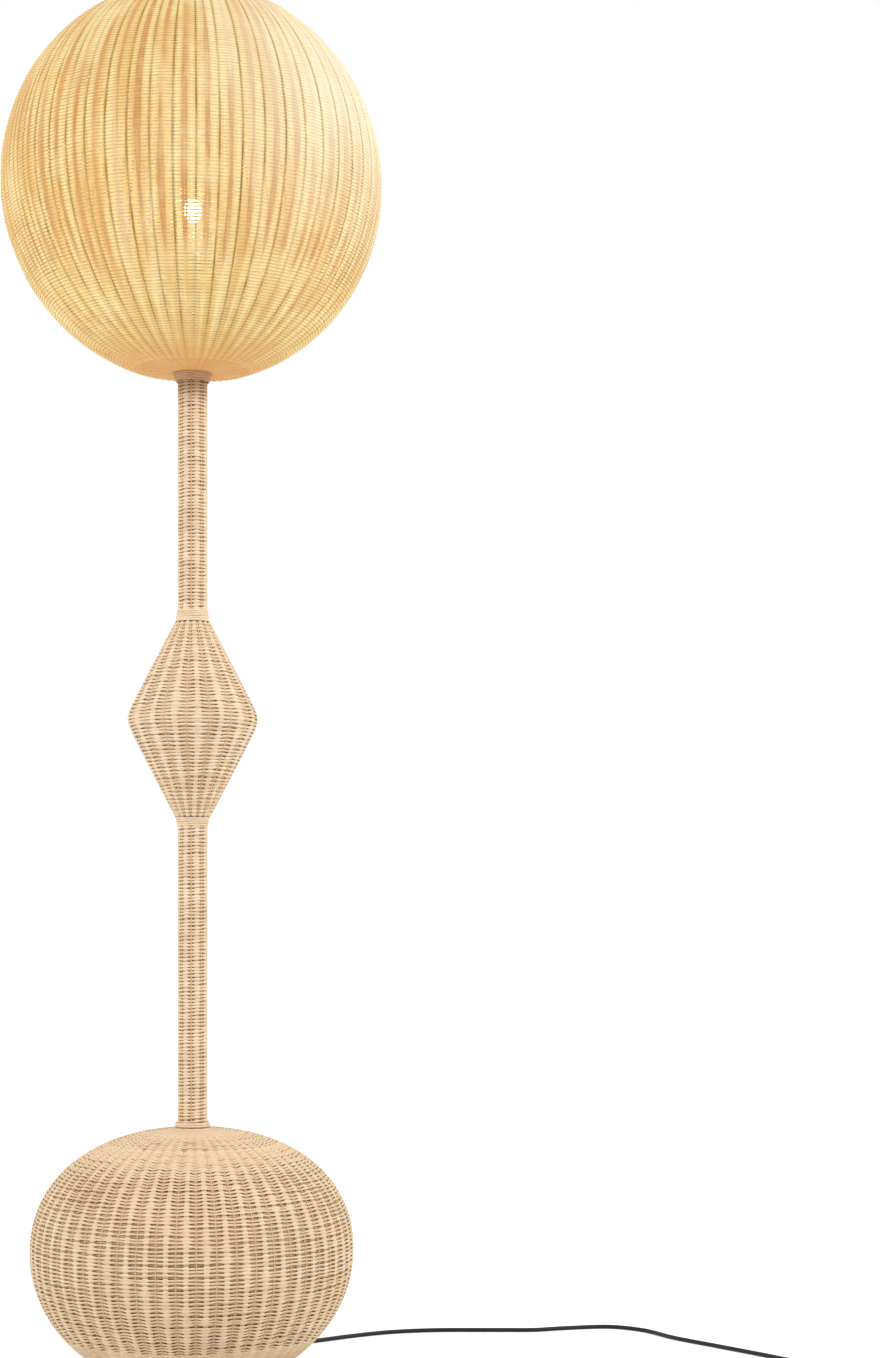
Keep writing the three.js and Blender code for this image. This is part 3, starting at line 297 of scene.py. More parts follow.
def loft(rings, wrapped=False, lengths=None, phase=None):
    """Closed skins over rings[rod, row, corner], whose corners turn right-handed about the way the rows
    run. The first and last rings are closed by a flat face, or joined where the rows wrap round.
    The map "strand" holds the length along the rows in metres and the share of a turn round the ring."""
    count, rows, sides = rings.shape[:3]
    number = np.arange(count * rows * sides).reshape(count, rows, sides)
    if lengths is None:
        steps = np.linalg.norm(np.diff(rings[:, :, 0], axis=1), axis=-1)
        lengths = np.concatenate([np.zeros((count, 1)), np.cumsum(steps, axis=1)], axis=1)
    run = np.broadcast_to(lengths[:, :, None], number.shape)
    (low, high), (run_low, run_high) = (
        (grid, np.roll(grid, -1, axis=1)) if wrapped else (grid[:, :-1], grid[:, 1:])
        for grid in (number, run)
    )
    quads = np.stack([low, np.roll(low, -1, 2), np.roll(high, -1, 2), high], axis=-1)
    share = np.broadcast_to(np.arange(sides) / sides, low.shape)
    share_next = share + 1 / sides
    maps = [run_low, share, run_low, share_next, run_high, share_next, run_high, share]
    faces, uvs = [quads.reshape(-1, 4)], [np.stack(maps, axis=-1).reshape(-1)]
    if not wrapped:
        ends = np.concatenate([number[:, 0, ::-1], number[:, -1]])
        faces.append(ends)
        uvs.append(np.zeros(2 * ends.size))
    phases = None if phase is None else np.repeat(np.broadcast_to(phase, (count, rows)).ravel(), sides)
    return rings.reshape(-1, 3), faces, uvs, phases


def piece(name, skins, finish, body, slot, *stands_for, sharp=None):
    """An object at the origin made of skins. It rides on its body, takes the finish given and stands for the
    CAD nodes named. Edges sharper than the angle given stay crisp. Its slot is not used."""
    starts = np.cumsum([0] + [len(skin[0]) for skin in skins])
    corners = np.concatenate([skin[0] for skin in skins]).astype(np.float32)
    faces = [face + start for skin, start in zip(skins, starts) for face in skin[1]]
    sides = np.concatenate([np.full(len(face), face.shape[1]) for face in faces])
    around_faces = np.concatenate([face.ravel() for face in faces]).astype(np.int32)
    uvs = np.concatenate([uv for skin in skins for uv in skin[2]]).astype(np.float32)
    mesh = bpy.data.meshes.new(name)
    mesh.vertices.add(len(corners))
    mesh.vertices.foreach_set("co", corners.ravel())
    mesh.loops.add(len(around_faces))
    mesh.loops.foreach_set("vertex_index", around_faces)
    mesh.polygons.add(len(sides))
    mesh.polygons.foreach_set("loop_start", (np.cumsum(sides) - sides).astype(np.int32))
    mesh.polygons.foreach_set("use_smooth", np.ones(len(sides), dtype=bool))
    mesh.uv_layers.new(name="strand").data.foreach_set("uv", uvs)
    if skins[0][3] is not None:
        phases = np.concatenate([skin[3] for skin in skins]).astype(np.float32)
        mesh.attributes.new("phase", "FLOAT", "POINT").data.foreach_set("value", phases)
    mesh.update(calc_edges=True)
    if sharp is not None:
        mesh.set_sharp_from_angle(angle=math.radians(sharp))
    mesh.materials.append(finish)
    made = bpy.data.objects.new(name, mesh)
    scene.collection.objects.link(made)
    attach(made, body)
    if stands_for:
        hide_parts(*stands_for)


def turned(profile, sides, foot=(0, 0, 0), toward=(0, 0, 1)):
    """Rings of a turned piece: each radius and height of its profile, in metres, becomes a circle
    of that radius round the line from foot, at that height along it."""
    axis = np.array(toward) / np.linalg.norm(toward)
    first = np.cross(axis, (1, 0, 0) if abs(axis[2]) > 0.9 else (0, 0, 1))
    first /= np.linalg.norm(first)
    turn = 2 * np.pi * np.arange(sides)[:, None] / sides
    spoke = np.cos(turn) * first + np.sin(turn) * np.cross(axis, first)
    radius, height = np.array(profile).T[:, :, None, None]
    return (np.array(foot) + radius * spoke + height * axis)[None]


def black_moulded(name, skins, node_name, sharp):
    """A hard black piece that rides on the lamp and stands for one CAD node."""
    piece(name, skins, black_shell, "lamp", "black_moulding", node_name, sharp=sharp)


black_moulded("gland", [loft(turned(gland_profile, 28, gland_foot, exit_direction))], "cord_gland", 35)

# Foot switch. Two moulded halves, oval from above, screwed together over the contacts, with a sleeve
# for the cord at each end and a round rubber button in the middle that the foot presses down.
switch_half_width = 22 * mm
switch_straight = 17 * mm
oval_corners = 64
oval_turn = 2 * np.pi * np.arange(oval_corners) / oval_corners


def oval(inset, height):
    """A ring with straight sides and round ends, inset all round: a half circle moved along Y at each end."""
    half = switch_half_width - inset
    along = half * np.sin(oval_turn) + np.sign(np.round(np.sin(oval_turn), 6)) * switch_straight
    return switch_place + np.stack([half * np.cos(oval_turn), along, np.full(oval_corners, height)], axis=1)


def round_hole(radius, height):
    """A circle round the switch's middle with as many corners as the oval."""
    flat = [radius * np.cos(oval_turn), radius * np.sin(oval_turn), np.full(oval_corners, height)]
    return switch_place + np.stack(flat, axis=1)


def paint(finish, *names):
    """Gives a finish to CAD nodes that stay as they are."""
    for name in names:
        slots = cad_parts[name].data.materials
        slots.clear()
        slots.append(finish)


tray_rows = np.array([
    [1.2, 0], [0.3, 0.3], [0, 1.2], [0, 7.4], [0.4, 7.9], [0.9, 8], [2.2, 8], [2.2, 2.2],
]) * mm
tray = np.stack([oval(inset, height) for inset, height in tray_rows])[None]
sleeve_profile = np.array([
    [5.2, 37], [5.2, 40.5], [4.3, 41], [4.3, 42], [4.9, 42.4], [4.9, 43.6], [4, 44], [4, 45], [4.5, 45.4],
    [4.5, 46.6], [3.7, 47], [3.7, 48], [4.1, 48.4], [4.1, 50], [3.6, 51],
]) * mm
sleeve_foot = switch_place + [0, 0, switch_cord_height]
sleeves = [loft(turned(sleeve_profile, 24, sleeve_foot, (0, side, 0))) for side in (1, -1)]
black_moulded("switch_half_below", [loft(tray), *sleeves], "switch_tray", 40)
cover_round, cover_shoulder = 5.6, 13
round_at = np.linspace(0, np.pi / 2, 7)[1:]
cover_rows = np.vstack([
    [[0.9, 8.3], [0.3, 8.35], [0, 8.7], [0, cover_shoulder]],
    np.c_[cover_round * (1 - np.cos(round_at)), cover_shoulder + cover_round * np.sin(round_at)],
    [[7.4, 19]],
]) * mm
hole_rows = np.array([[13.4, 19.25], [12.4, 19.3], [11.6, 19], [11.3, 18.4], [11.3, 17.1]]) * mm
inner_rows = np.array([[6.5, 17.1], [3.4, 14.5], [2.4, 12], [2.4, 8.3]]) * mm
cover = [oval(inset, height) for inset, height in cover_rows]
cover += [round_hole(radius, height) for radius, height in hole_rows]
cover += [oval(inset, height) for inset, height in inner_rows]
black_moulded("switch_half_above", [loft(np.stack(cover)[None], wrapped=True)], "switch_cover", 50)
button_reach, button_top, button_dome, ridge_depth, ridge_wave = 10.4, 22.7, 0.6, 0.35, 2.4
ridge_at = np.linspace(button_reach, 1.2, 33)
ridge_height = button_top + button_dome * (1 - (ridge_at / button_reach) ** 2)
ridge_height = ridge_height - ridge_depth * (np.sin(ridge_at * ridge_wave) > 0)
button_profile = np.vstack([
    [[12.8, 14.9], [13, 15.1], [13, 16.7], [12.8, 16.8], [11, 16.8], [11, 21.6], [10.8, 22.3]],
    np.c_[ridge_at, ridge_height],
]) * mm
button_rubber = moulding("button_rubber", in_light(40, 40, 42), 0.7, 1500, 0.1 * mm)
piece(
    "switch_push", [loft(turned(button_profile, 48, switch_place))],
    button_rubber, "foot_button", "button_rubber", "switch_button", sharp=30,
)
paint(black_shell, "switch_block")

# Plug. A flat black body moulded onto the cord, narrow at the neck and waisted for the fingers,
# with two round brass pins in a row across it.
plug_rows = np.array([
    [0, 3.1, 3.1, 2], [0.8, 3.8, 3.8, 2], [3, 4.1, 4.1, 2], [14, 4.8, 4.8, 2], [17, 6.2, 5.4, 2.2],
    [20, 9, 6, 2.5], [24, 12.6, 6.3, 3], [28, 14.9, 6.3, 3.4], [33, 15.6, 5.9, 3.8], [38, 15.5, 5.8, 4],
    [43, 16, 6.3, 4.2], [47, 16.5, 6.8, 4.5], [50, 16.5, 6.8, 4.5], [51.4, 16.1, 6.4, 4.2], [52, 15, 5.4, 4],
])
plug_turn = 2 * np.pi * np.arange(48) / 48
reach, half_width, half_thick, squareness = plug_rows.T[:, :, None]


def squared(wave, power):
    """A sine or cosine pushed towards a square wave, which squares the corners of an ellipse."""
    return np.sign(wave) * np.abs(wave) ** (2 / power)


plug_body = plug_place + mm * np.stack(np.broadcast_arrays(
    half_width * squared(np.sin(plug_turn), squareness), reach,
    half_thick * squared(np.cos(plug_turn), squareness),
), axis=-1)
black_moulded("plug_grip", [loft(plug_body[None])], "plug_body", 50)
pin_profile = np.array([[2, 51.5], [2, 69.4], [1.7, 70.4], [1.1, 71], [0.3, 71.2]]) * mm
pin_aside = 9.3 * mm
plug_brass = moulding("plug_brass", in_light(214, 176, 106), 0.3, 1600, 0.03 * mm, 1.0)
for number, side in ((1, -1), (2, 1)):
    pin = turned(pin_profile, 20, plug_place + [side * pin_aside, 0, 0], (0, 1, 0))
    piece(f"pin_{number}", [loft(pin)], plug_brass, "lamp", "brass_parts", f"plug_pin_{number}", sharp=40)

# Base. Round cane strands of one continuous run wind up a squashed ball, behind each single stake
# and over the hidden pair between two of them, where they spread and close up into a broad pale rib.
# A second run of flat strands lies behind the gaps of the first, so that nothing shows through the wall.
cane_shades = in_light(242, 218, 187), in_light(229, 201, 164), in_light(194, 158, 116)
# A brown for the painted shadow that the globe casts on the top of the upper stem.
painted_shadow_brown = in_light(150, 108, 72)
fibre_stretch = (60, 7, 1)


def cane_guides(tree):
    """What the finishes of cane follow: the map "strand", Object coordinates and the attribute "phase"."""
    strand = node(tree, "ShaderNodeUVMap", uv_map="strand").outputs[0]
    place = node(tree, "ShaderNodeTexCoord").outputs["Object"]
    return strand, place, node(tree, "ShaderNodeAttribute", attribute_name="phase").outputs["Fac"]


def toned(tree, colour, *tones):
    """A colour with tones laid over it in turn. Each is given by a value, the range of the value over
    which it comes in, its largest share and its colour."""
    for value, low, high, most, tone in tones:
        colour = mix_colours(tree, between(tree, value, low, high, 0, most), colour, tone)
    return colour


def cane(name, pale, mid, deep, painted_shadow_heights=None):
    """Peeled cane: long fibre streaks on the map "strand", slow changes of tone from length to length,
    stains over the whole piece on Object coordinates, a satin polish and a fine lengthwise grain.
    By the attribute "phase" it takes a little painted shade between the ribs,
    and is deeper still on single stakes, whose phase is -1.
    Between the two heights given it goes over to a brown, painted as the shadow that the globe casts."""
    made, tree, shader = new_finish(name)
    strand, place, phase = cane_guides(tree)
    fibre = clouds(tree, strand, 1, 4, fibre_stretch)
    length = clouds(tree, strand, 1, 2, (1.7, 0.6, 1), (7, 3, 0))
    # The phase tones lay painted shade between the ribs and deepen the single stakes.
    tone = toned(
        tree, mix_colours(tree, between(tree, length, 0.38, 0.62), mid, pale),
        (fibre, 0.45, 0.75, 0.5, deep), (clouds(tree, place, 16, 4), 0.55, 0.8, 0.55, deep),
        (phase, 0.85, 0.6, 0.06, deep), (phase, 0, -1, 0.45, deep),
    )
    # Painted shadow of the globe: between the heights given the cane goes over to brown.
    if painted_shadow_heights:
        height = node(tree, "ShaderNodeSeparateXYZ", {0: place}).outputs[2]
        tone = toned(tree, tone, (height, *painted_shadow_heights, 0.75, painted_shadow_brown))
    relief = {"Height": clouds(tree, strand, 1, 3, (45, 16, 1)), "Distance": 0.25 * mm, "Strength": 0.5}
    feed(tree, shader, {
        "Base Color": tone, "Roughness": between(tree, fibre, 0.3, 0.7, 0.48, 0.68),
        "Normal": node(tree, "ShaderNodeBump", relief).outputs[0],
    })
    return made


natural_cane = cane("natural_cane", *cane_shades)
base_cane = cane("base_cane", in_light(232, 206, 172), in_light(226, 196, 157), cane_shades[2])
# The inner run is painted in deeper tones, as painted shade where it lies behind the gaps.
painted_shade_inner_cane = cane("painted_shade_inner_cane", in_light(206, 177, 134), in_light(180, 147, 104), in_light(142, 112, 72))


def woven(name, skins, finish, *stands_for):
    """A piece of natural cane that rides on the lamp."""
    piece(name, skins, finish, "lamp", "natural_rattan", *stands_for)


def outline_of(radius, height):
    """An outline with its length and its outward normal, (dz, -dr) over the length, at each point."""
    length = np.concatenate([[0], np.cumsum(np.hypot(np.diff(radius), np.diff(height)))])
    return {
        "length": length, "radius": radius, "height": height,
        "out": np.gradient(height, length), "up": -np.gradient(radius, length),
    }


def length_at(outline, key, value):
    """The length along an outline at which it passes a radius or height for the last time."""
    passed = np.nonzero(np.diff(np.sign(outline[key] - value)))[0][-1]
    return outline["length"][passed]


def on_outline(outline, length, turn, proud):
    """Points on a turned outline at a length along it and a turn from the front, standing proud of it,
    and the outward directions there."""
    radius, height, out, up = (
        np.interp(length, outline["length"], outline[key]) for key in ("radius", "height", "out", "up")
    )
    points = around(radius + proud * out, height + proud * up, turn)
    outs = np.stack([out * np.sin(turn), -out * np.cos(turn), np.broadcast_to(up, np.shape(turn))], axis=-1)
    return points, outs


def rods(centres, outs, half_out, half_side, sides):
    """Rings round rows of centres[rod, row]: an ellipse, half_out long outwards and half_side across.
    Each half size is one number, or one for each centre."""
    along = np.gradient(centres, axis=1)
    side = np.cross(along, outs)
    side /= np.linalg.norm(side, axis=-1, keepdims=True)
    out = np.cross(side, along)
    out /= np.linalg.norm(out, axis=-1, keepdims=True)
    turn = 2 * np.pi * np.arange(sides)[:, None] / sides
    outwards = np.asarray(half_out)[..., None, None] * np.cos(turn) * out[:, :, None]
    sidewards = np.asarray(half_side)[..., None, None] * np.sin(turn) * side[:, :, None]
    return centres[:, :, None] + outwards + sidewards


def drift(turns, seed, periods):
    """A smooth wander between -1 and 1 along a strand: a sum of sine waves of seeded lengths and starts,
    the long ones counted to the turn and the short ones to the period."""
    dice = np.random.default_rng(seed)
    rates = np.array([0.31, 0.57, 1.37, 2.9, 0.11 * periods, 0.25 * periods, 0.5 * periods])
    rates *= dice.uniform(0.9, 1.1, len(rates))
    parts = np.array([0.1, 0.1, 0.1, 0.1, 0.22, 0.22, 0.16])
    starts = dice.uniform(0, 2 * np.pi, len(rates))
    waves = zip(parts, rates, starts)
    return sum(part * np.sin(2 * np.pi * rate * turns + start) for part, rate, start in waves)


def climb(weave, low, turns, seed):
    """The length along the outline that a strand reaches: one pitch to the turn, with a smooth wander."""
    return low + weave["pitch"] * (turns - 1 + weave["wander"] * drift(turns, seed, weave["periods"]))


def weavers(outline, low, high, weave, parts, seed, relief=(1, 1), closing=((0, 1), (0, 0)), holes=()):
    """A strand wound up an outline between two lengths along it, cut into parts for the mesh's sake,
    with a ring at each of the weave's marks in a period. Its first and last turns lie level, so that
    it ends flat. Its depth goes from that at a single stake to that over a pair by the share
    1 - |cos(pi u)|^3.2, where u is the share of the period. Its half width follows the phase by the
    weave's widths, shifted by a sine wave of 7 to the turn that leans with the length, so that ribs
    vary. It goes over to the widest of them where closing, the lengths and the shares at them, says
    that the rows close up. At each hole, a turn from the front, a length and a radius, it narrows
    by a bell curve 6 mm wide."""
    marks = np.array(weave["marks"])
    periods = round(((high - low) / weave["pitch"] + 2) * weave["periods"])
    turns = np.append((np.arange(periods)[:, None] + marks).ravel(), periods) / weave["periods"]
    length = np.clip(climb(weave, low, turns, seed), low, high)
    at_stake = np.abs(np.cos(np.pi * weave["periods"] * turns)) ** 3.2
    sunk = at_stake * np.interp(length, [low, high], relief)
    depth = weave["over"] + (weave["under"] - weave["over"]) * sunk
    depth = depth + 0.12 * mm * drift(1.7 * turns, seed + 1, weave["periods"])
    centres, outs = on_outline(outline, length, 2 * np.pi * turns, depth)
    runs = np.concatenate([[0], np.cumsum(np.linalg.norm(np.diff(centres, axis=0), axis=1))])
    phase = 1 - np.abs(2 * ((weave["periods"] * turns) % 1) - 1)
    half_side = np.interp(phase + 0.09 * np.sin(14 * np.pi * turns + 60 * length), *weave["widths"])
    half_side = half_side + (weave["widths"][1][-1] - half_side) * np.interp(length, *closing)
    half_side = half_side * (1 + 0.12 * drift(2.3 * turns, seed + 2, weave["periods"]))
    for hole_turn, hole_length, hole_radius in holes:
        aside = hole_radius * ((2 * np.pi * turns - hole_turn + np.pi) % (2 * np.pi) - np.pi)
        away = np.hypot(aside / 2, length - hole_length)
        half_side = half_side * (1 - 0.9 * np.exp(-(away / (3.2 * mm)) ** 2))
    cuts = np.round(np.linspace(0, periods, parts + 1)).astype(int) * len(marks)
    made = []
    for first, last in zip(cuts[:-1], cuts[1:]):
        span = (None, slice(first, last + 1))
        rings = rods(centres[span], outs[span], weave["half_out"], half_side[span], weave["sides"])
        made.append(loft(rings, lengths=runs[span] + seed, phase=phase[span]))
    return made


def inner_run(outline, low, high, weave, steps, seed):
    """Flat strands at one depth, half way between the rows of the run with the same seed."""
    count = round(((high - low) / weave["pitch"]) * weave["periods"]) * steps
    turns = np.arange(count + 1) / (weave["periods"] * steps)
    middle = (climb(weave, low, turns, seed) + climb(weave, low, turns + 1, seed)) / 2
    centres, outs = on_outline(outline, np.clip(middle, low, high), 2 * np.pi * turns, weave["inner"])
    return loft(rods(centres[None], outs[None], 0.45 * mm, 0.38 * weave["pitch"], 6))


def stakes(outline, low, high, rows, weave, kind):
    """Upright stakes between two lengths along an outline, of the weave's kind "single", one at the start
    of each period, or "pair", one to each side of its middle. A kind is the stakes' radius, their depth
    and how far each stands from the middle, held to a fifth of the period, so that pairs close up where
    the form narrows."""
    radius, depth, aside = weave[kind]
    length = np.linspace(low, high, rows)
    shift = 0.5 if aside else 0
    round_about = 2 * np.pi * (np.arange(weave["periods"]) + shift) / weave["periods"]
    here = np.interp(length, outline["length"], outline["radius"])
    lean = np.minimum(aside, 0.2 * 2 * np.pi * here / weave["periods"]) / here
    turn = np.concatenate([round_about[:, None] + side * lean for side in ((-1, 1) if aside else (0,))])
    centres, outs = on_outline(outline, np.broadcast_to(length, turn.shape), turn, depth)
    lengths = np.broadcast_to(length, turn.shape) + np.arange(len(turn))[:, None] * 0.37
    return loft(rods(centres, outs, radius, radius, 6), lengths=lengths, phase=1 if aside else -1)


base_radius, base_equator, base_lip = 187 * mm, 145 * mm, 3.5 * mm
belly_depth, crown_rise, stem_hole = 160.02 * mm, 143.8 * mm, 18.5 * mm
crown_power = 1 / 1.1
below = np.linspace(-math.asin((base_equator - base_lip) / belly_depth), 0, 90)
above = np.linspace(0, math.acos((stem_hole / base_radius) ** (1 / crown_power)), 140)[1:]
base_outline = outline_of(
    base_radius * np.concatenate([np.cos(below), np.cos(above) ** crown_power]),
    base_equator + np.concatenate([belly_depth * np.sin(below), crown_rise * np.sin(above) ** crown_power]),
)
base_end = base_outline["length"][-1]
border_top = length_at(base_outline, "height", 50 * mm)
rows_close = length_at(base_outline, "radius", 145 * mm)
crown_start = length_at(base_outline, "radius", 99 * mm)
pairs_end = length_at(base_outline, "radius", 60 * mm)
ribs_end = length_at(base_outline, "radius", 58 * mm)
base_weave = {
    "pitch": 4.5 * mm, "periods": 52, "over": -0.9 * mm, "under": -3.05 * mm, "inner": -3.5 * mm,
    "half_out": 0.9 * mm, "widths": ((0.66, 0.84), (1.3 * mm, 2.9 * mm)), "wander": 0.36,
    "marks": (0, 0.17, 0.33, 0.42, 0.5, 0.58, 0.67, 0.83), "sides": 6,
    "single": (0.7 * mm, -2.4 * mm, 0), "pair": (1.2 * mm, -2.75 * mm, 1.6 * mm),
}
rows_closing = ((rows_close, crown_start), (0, 1))
side_weavers = weavers(base_outline, border_top, crown_start, base_weave, 2, 11, closing=rows_closing)
for number, skin in enumerate(side_weavers, 1):
    woven(f"base_weavers_{number}", [skin], base_cane, "base_weave")
woven("base_inner_run", [inner_run(base_outline, border_top, crown_start, base_weave, 2, 11)], painted_shade_inner_cane)
woven("base_stakes", [
    stakes(base_outline, border_top - 2 * mm, crown_start + 4 * mm, 40, base_weave, "single"),
    stakes(base_outline, 0, pairs_end, 42, base_weave, "pair"),
], base_cane)
even_marks = (0, 0.25, 0.5, 0.75)
crown_ribbed = {**base_weave, "widths": ((0.66, 0.84), (1.9 * mm, 2.4 * mm)), "wander": 0.16}
crown_wound = {**crown_ribbed, "pitch": 4 * mm, "periods": 36, "half_out": 0.6 * mm, "marks": even_marks}
crown_holes = [
    (math.radians(turn), length_at(base_outline, "radius", radius * mm), radius * mm)
    for turn, radius in ((-24, 82), (3, 80), (1, 97), (13, 96), (-27, 97))
]
woven("base_crown_winding", [
    *weavers(base_outline, crown_start, ribs_end, crown_ribbed, 1, 12, (0.8, 0.1), holes=crown_holes),
    *weavers(base_outline, ribs_end, base_end, crown_wound, 1, 14, (0, 0)),
], base_cane, "base_crown")
border_wound = {
    **base_weave, "pitch": 2.35 * mm, "wander": 0.07, "marks": even_marks,
    "widths": ((0, 1), (1.3 * mm, 1.3 * mm)),
}
border = weavers(base_outline, 0.8 * mm, border_top, border_wound, 1, 13, (0.3, 0.8))
woven("base_border_winding", border, base_cane, "base_border")

# Base, inside and underneath. A cast weight screwed to a round steel plate on four rubber pads,
# the welded wire frame that the weave is built on, and the nut, washer and pipe that pull the stem down.
plated = moulding("plated_steel", in_light(176, 178, 182), 0.34, 1400, 0.03 * mm, 1.0)
cast = moulding("cast_weight", in_light(70, 71, 74), 0.72, 420, 0.4 * mm)
pad_rubber = moulding("pad_rubber", in_light(44, 44, 46), 0.8, 1200, 0.12 * mm)
paint(plated, "base_frame", "base_plate", *(f"plate_screw_{number}" for number in (1, 2, 3)))
paint(plated, "base_washer", "base_nut", "base_pipe")
paint(cast, "counterweight")
paint(pad_rubber, *(f"rubber_pad_{number}" for number in (1, 2, 3, 4)))
paint(black_sheath, "inner_lead")

# Stem. Two steel tubes under sleeves of fine cane, woven as the base is, with a few turns
# of smooth winding at each end of the knot, a small ring on the crown and a flare under the globe.
stem_crest = 17.6 * mm
stem_weave = {
    "pitch": 4 * mm, "periods": 8, "over": -0.75 * mm, "under": -2.4 * mm, "inner": -3.2 * mm,
    "half_out": 0.75 * mm, "widths": ((0.52, 0.72), (1.5 * mm, 2.3 * mm)), "wander": 0.3,
    "marks": (0, 0.14, 0.26, 0.36, 0.5, 0.64, 0.74, 0.86), "sides": 6,
    "single": (0.65 * mm, -1.8 * mm, 0), "pair": (0.95 * mm, -2.3 * mm, 1.05 * mm),
}


def upright(radii, low, high):
    """A straight outline from one radius and height to another, in metres."""
    share = np.linspace(0, 1, 12)
    return outline_of(np.interp(share, [0, 1], radii), np.interp(share, [0, 1], [low, high]))


def sleeve(name, low, high, seed, finish, node_name):
    """A straight sleeve between two heights: its weavers and stakes, and the run inside them."""
    line = upright([stem_crest, stem_crest], low, high)
    far = high - low
    uprights = [stakes(line, 0, far, 60, stem_weave, kind) for kind in ("pair", "single")]
    woven(name, [*weavers(line, 0, far, stem_weave, 1, seed), *uprights], finish, node_name)
    woven(f"{name}_inner_run", [inner_run(line, 0, far, stem_weave, 4, seed)], painted_shade_inner_cane)


# The top of the upper sleeve takes the globe's painted shadow.
painted_shadow_cane = cane("painted_shadow_cane", *cane_shades, painted_shadow_heights=(1.122, 1.146))
sleeve("lower_sleeve", 0.2799, 0.6367, 21, natural_cane, "lower_stem_weave")
sleeve("upper_sleeve", 0.8885, 1.1531, 22, painted_shadow_cane, "upper_stem_weave")


def winding(radii, low, high, turns, seed, relief):
    """Close smooth turns of one flat strand up a straight or sloping line, clear of its ends by a margin."""
    margin = 1.5 * mm
    line = upright(radii, low, high)
    pitch = (line["length"][-1] - 2 * margin) / turns
    widths = ((0, 1), (0.54 * pitch, 0.54 * pitch))
    wound = {**stem_weave, "pitch": pitch, "half_out": 0.6 * mm, "wander": 0.05, "widths": widths}
    return weavers(line, margin, line["length"][-1] - margin, wound, 1, seed, (relief, relief))


# The flare under the globe is cane in darker tones, painted as the globe's shade.
painted_shade_flare_cane = cane("painted_shade_flare_cane", in_light(206, 164, 118), in_light(180, 138, 96), in_light(130, 94, 60))
wound_rings = (
    ("lower_collar", "lower_collar", natural_cane, (17.9, 20.2), (637.05, 647.55), 3, 23, 0.1),
    ("upper_collar", "upper_collar", natural_cane, (20.2, 17.9), (874.15, 888.15), 4, 24, 0.1),
    ("foot_ring", "foot_ring", natural_cane, (21.3, 19.9), (289.1, 295.1), 1.5, 25, 0.1),
    ("flare", "stem_flare", painted_shade_flare_cane, (19.3, 24), (1151.6, 1161.3), 3, 26, 0.6),
)
for name, node_name, finish, radii, (low, high), turns, seed, relief in wound_rings:
    wound_ring = winding(np.array(radii) * mm, low * mm, high * mm, turns, seed, relief)
    woven(f"{name}_winding", wound_ring, finish, node_name)
paint(plated, "lower_tube", "upper_tube", "tube_plug", "tube_joiner", "knot_frame", "stem_cap")

# Knot. A diamond of the same cane round the joint of the two tubes, its flanks nearly straight,
# round at the widest ring, with its ends drawn in under the wound collars.
knot_height, knot_half_length, knot_radius, knot_round, knot_slope = 760.85, 113, 75.4, 5, 0.528
knot_rise = np.linspace(-knot_half_length, knot_half_length, 160)
knot_outline = outline_of(
    (knot_radius + knot_round - np.hypot(knot_round, knot_slope * knot_rise)) * mm,
    (knot_height + knot_rise) * mm,
)
knot_weave = {
    **base_weave, "periods": 17, "under": -2.75 * mm, "inner": -3.05 * mm,
    "widths": ((0.62, 0.84), (1.5 * mm, 2.75 * mm)),
    "single": (0.7 * mm, -2.2 * mm, 0), "pair": (1.1 * mm, -2.4 * mm, 1.5 * mm),
}
knot_end = knot_outline["length"][-1]
knot_low, knot_high = 1.9 * mm, knot_end - 1.9 * mm
knot = weavers(knot_outline, knot_low, knot_high, knot_weave, 1, 31)
knot += [stakes(knot_outline, 0, knot_end, 46, knot_weave, kind) for kind in ("single", "pair")]
woven("knot_basket", knot, natural_cane, "knot_weave")
woven("knot_inner_run", [inner_run(knot_outline, knot_low, knot_high, knot_weave, 4, 31)], painted_shade_inner_cane)

# Globe. The same weave in finer rows, lit from inside: a dotted dark line stands at each single stake,
# the cane beside it glows yellow, and a narrow redder band glows over each hidden pair.
shade_radius, shade_half_height, shade_height = 220 * mm, 224.5 * mm, 1379.78 * mm
mouth_radius, border_room = 68 * mm, 4.8 * mm
mouth_angle = math.asin(mouth_radius / shade_radius)
shade_angles = np.linspace(mouth_angle, math.pi - mouth_angle - border_room / shade_radius, 240)
shade_outline = outline_of(
    shade_radius * np.sin(shade_angles), shade_height - shade_half_height * np.cos(shade_angles)
)
shade_weave = {
    "pitch": 3.8 * mm, "periods": 54, "over": -0.85 * mm, "under": -2.1 * mm,
    "half_out": 0.75 * mm, "widths": ((0, 0.1, 1), (1.3 * mm, 1.86 * mm, 1.9 * mm)), "wander": 0.12,
    "marks": (0, 0.05, 0.2, 0.5, 0.8, 0.95), "sides": 6,
    "single": (1 * mm, -3.05 * mm, 0), "pair": (1.1 * mm, -2.7 * mm, 1.6 * mm),
}


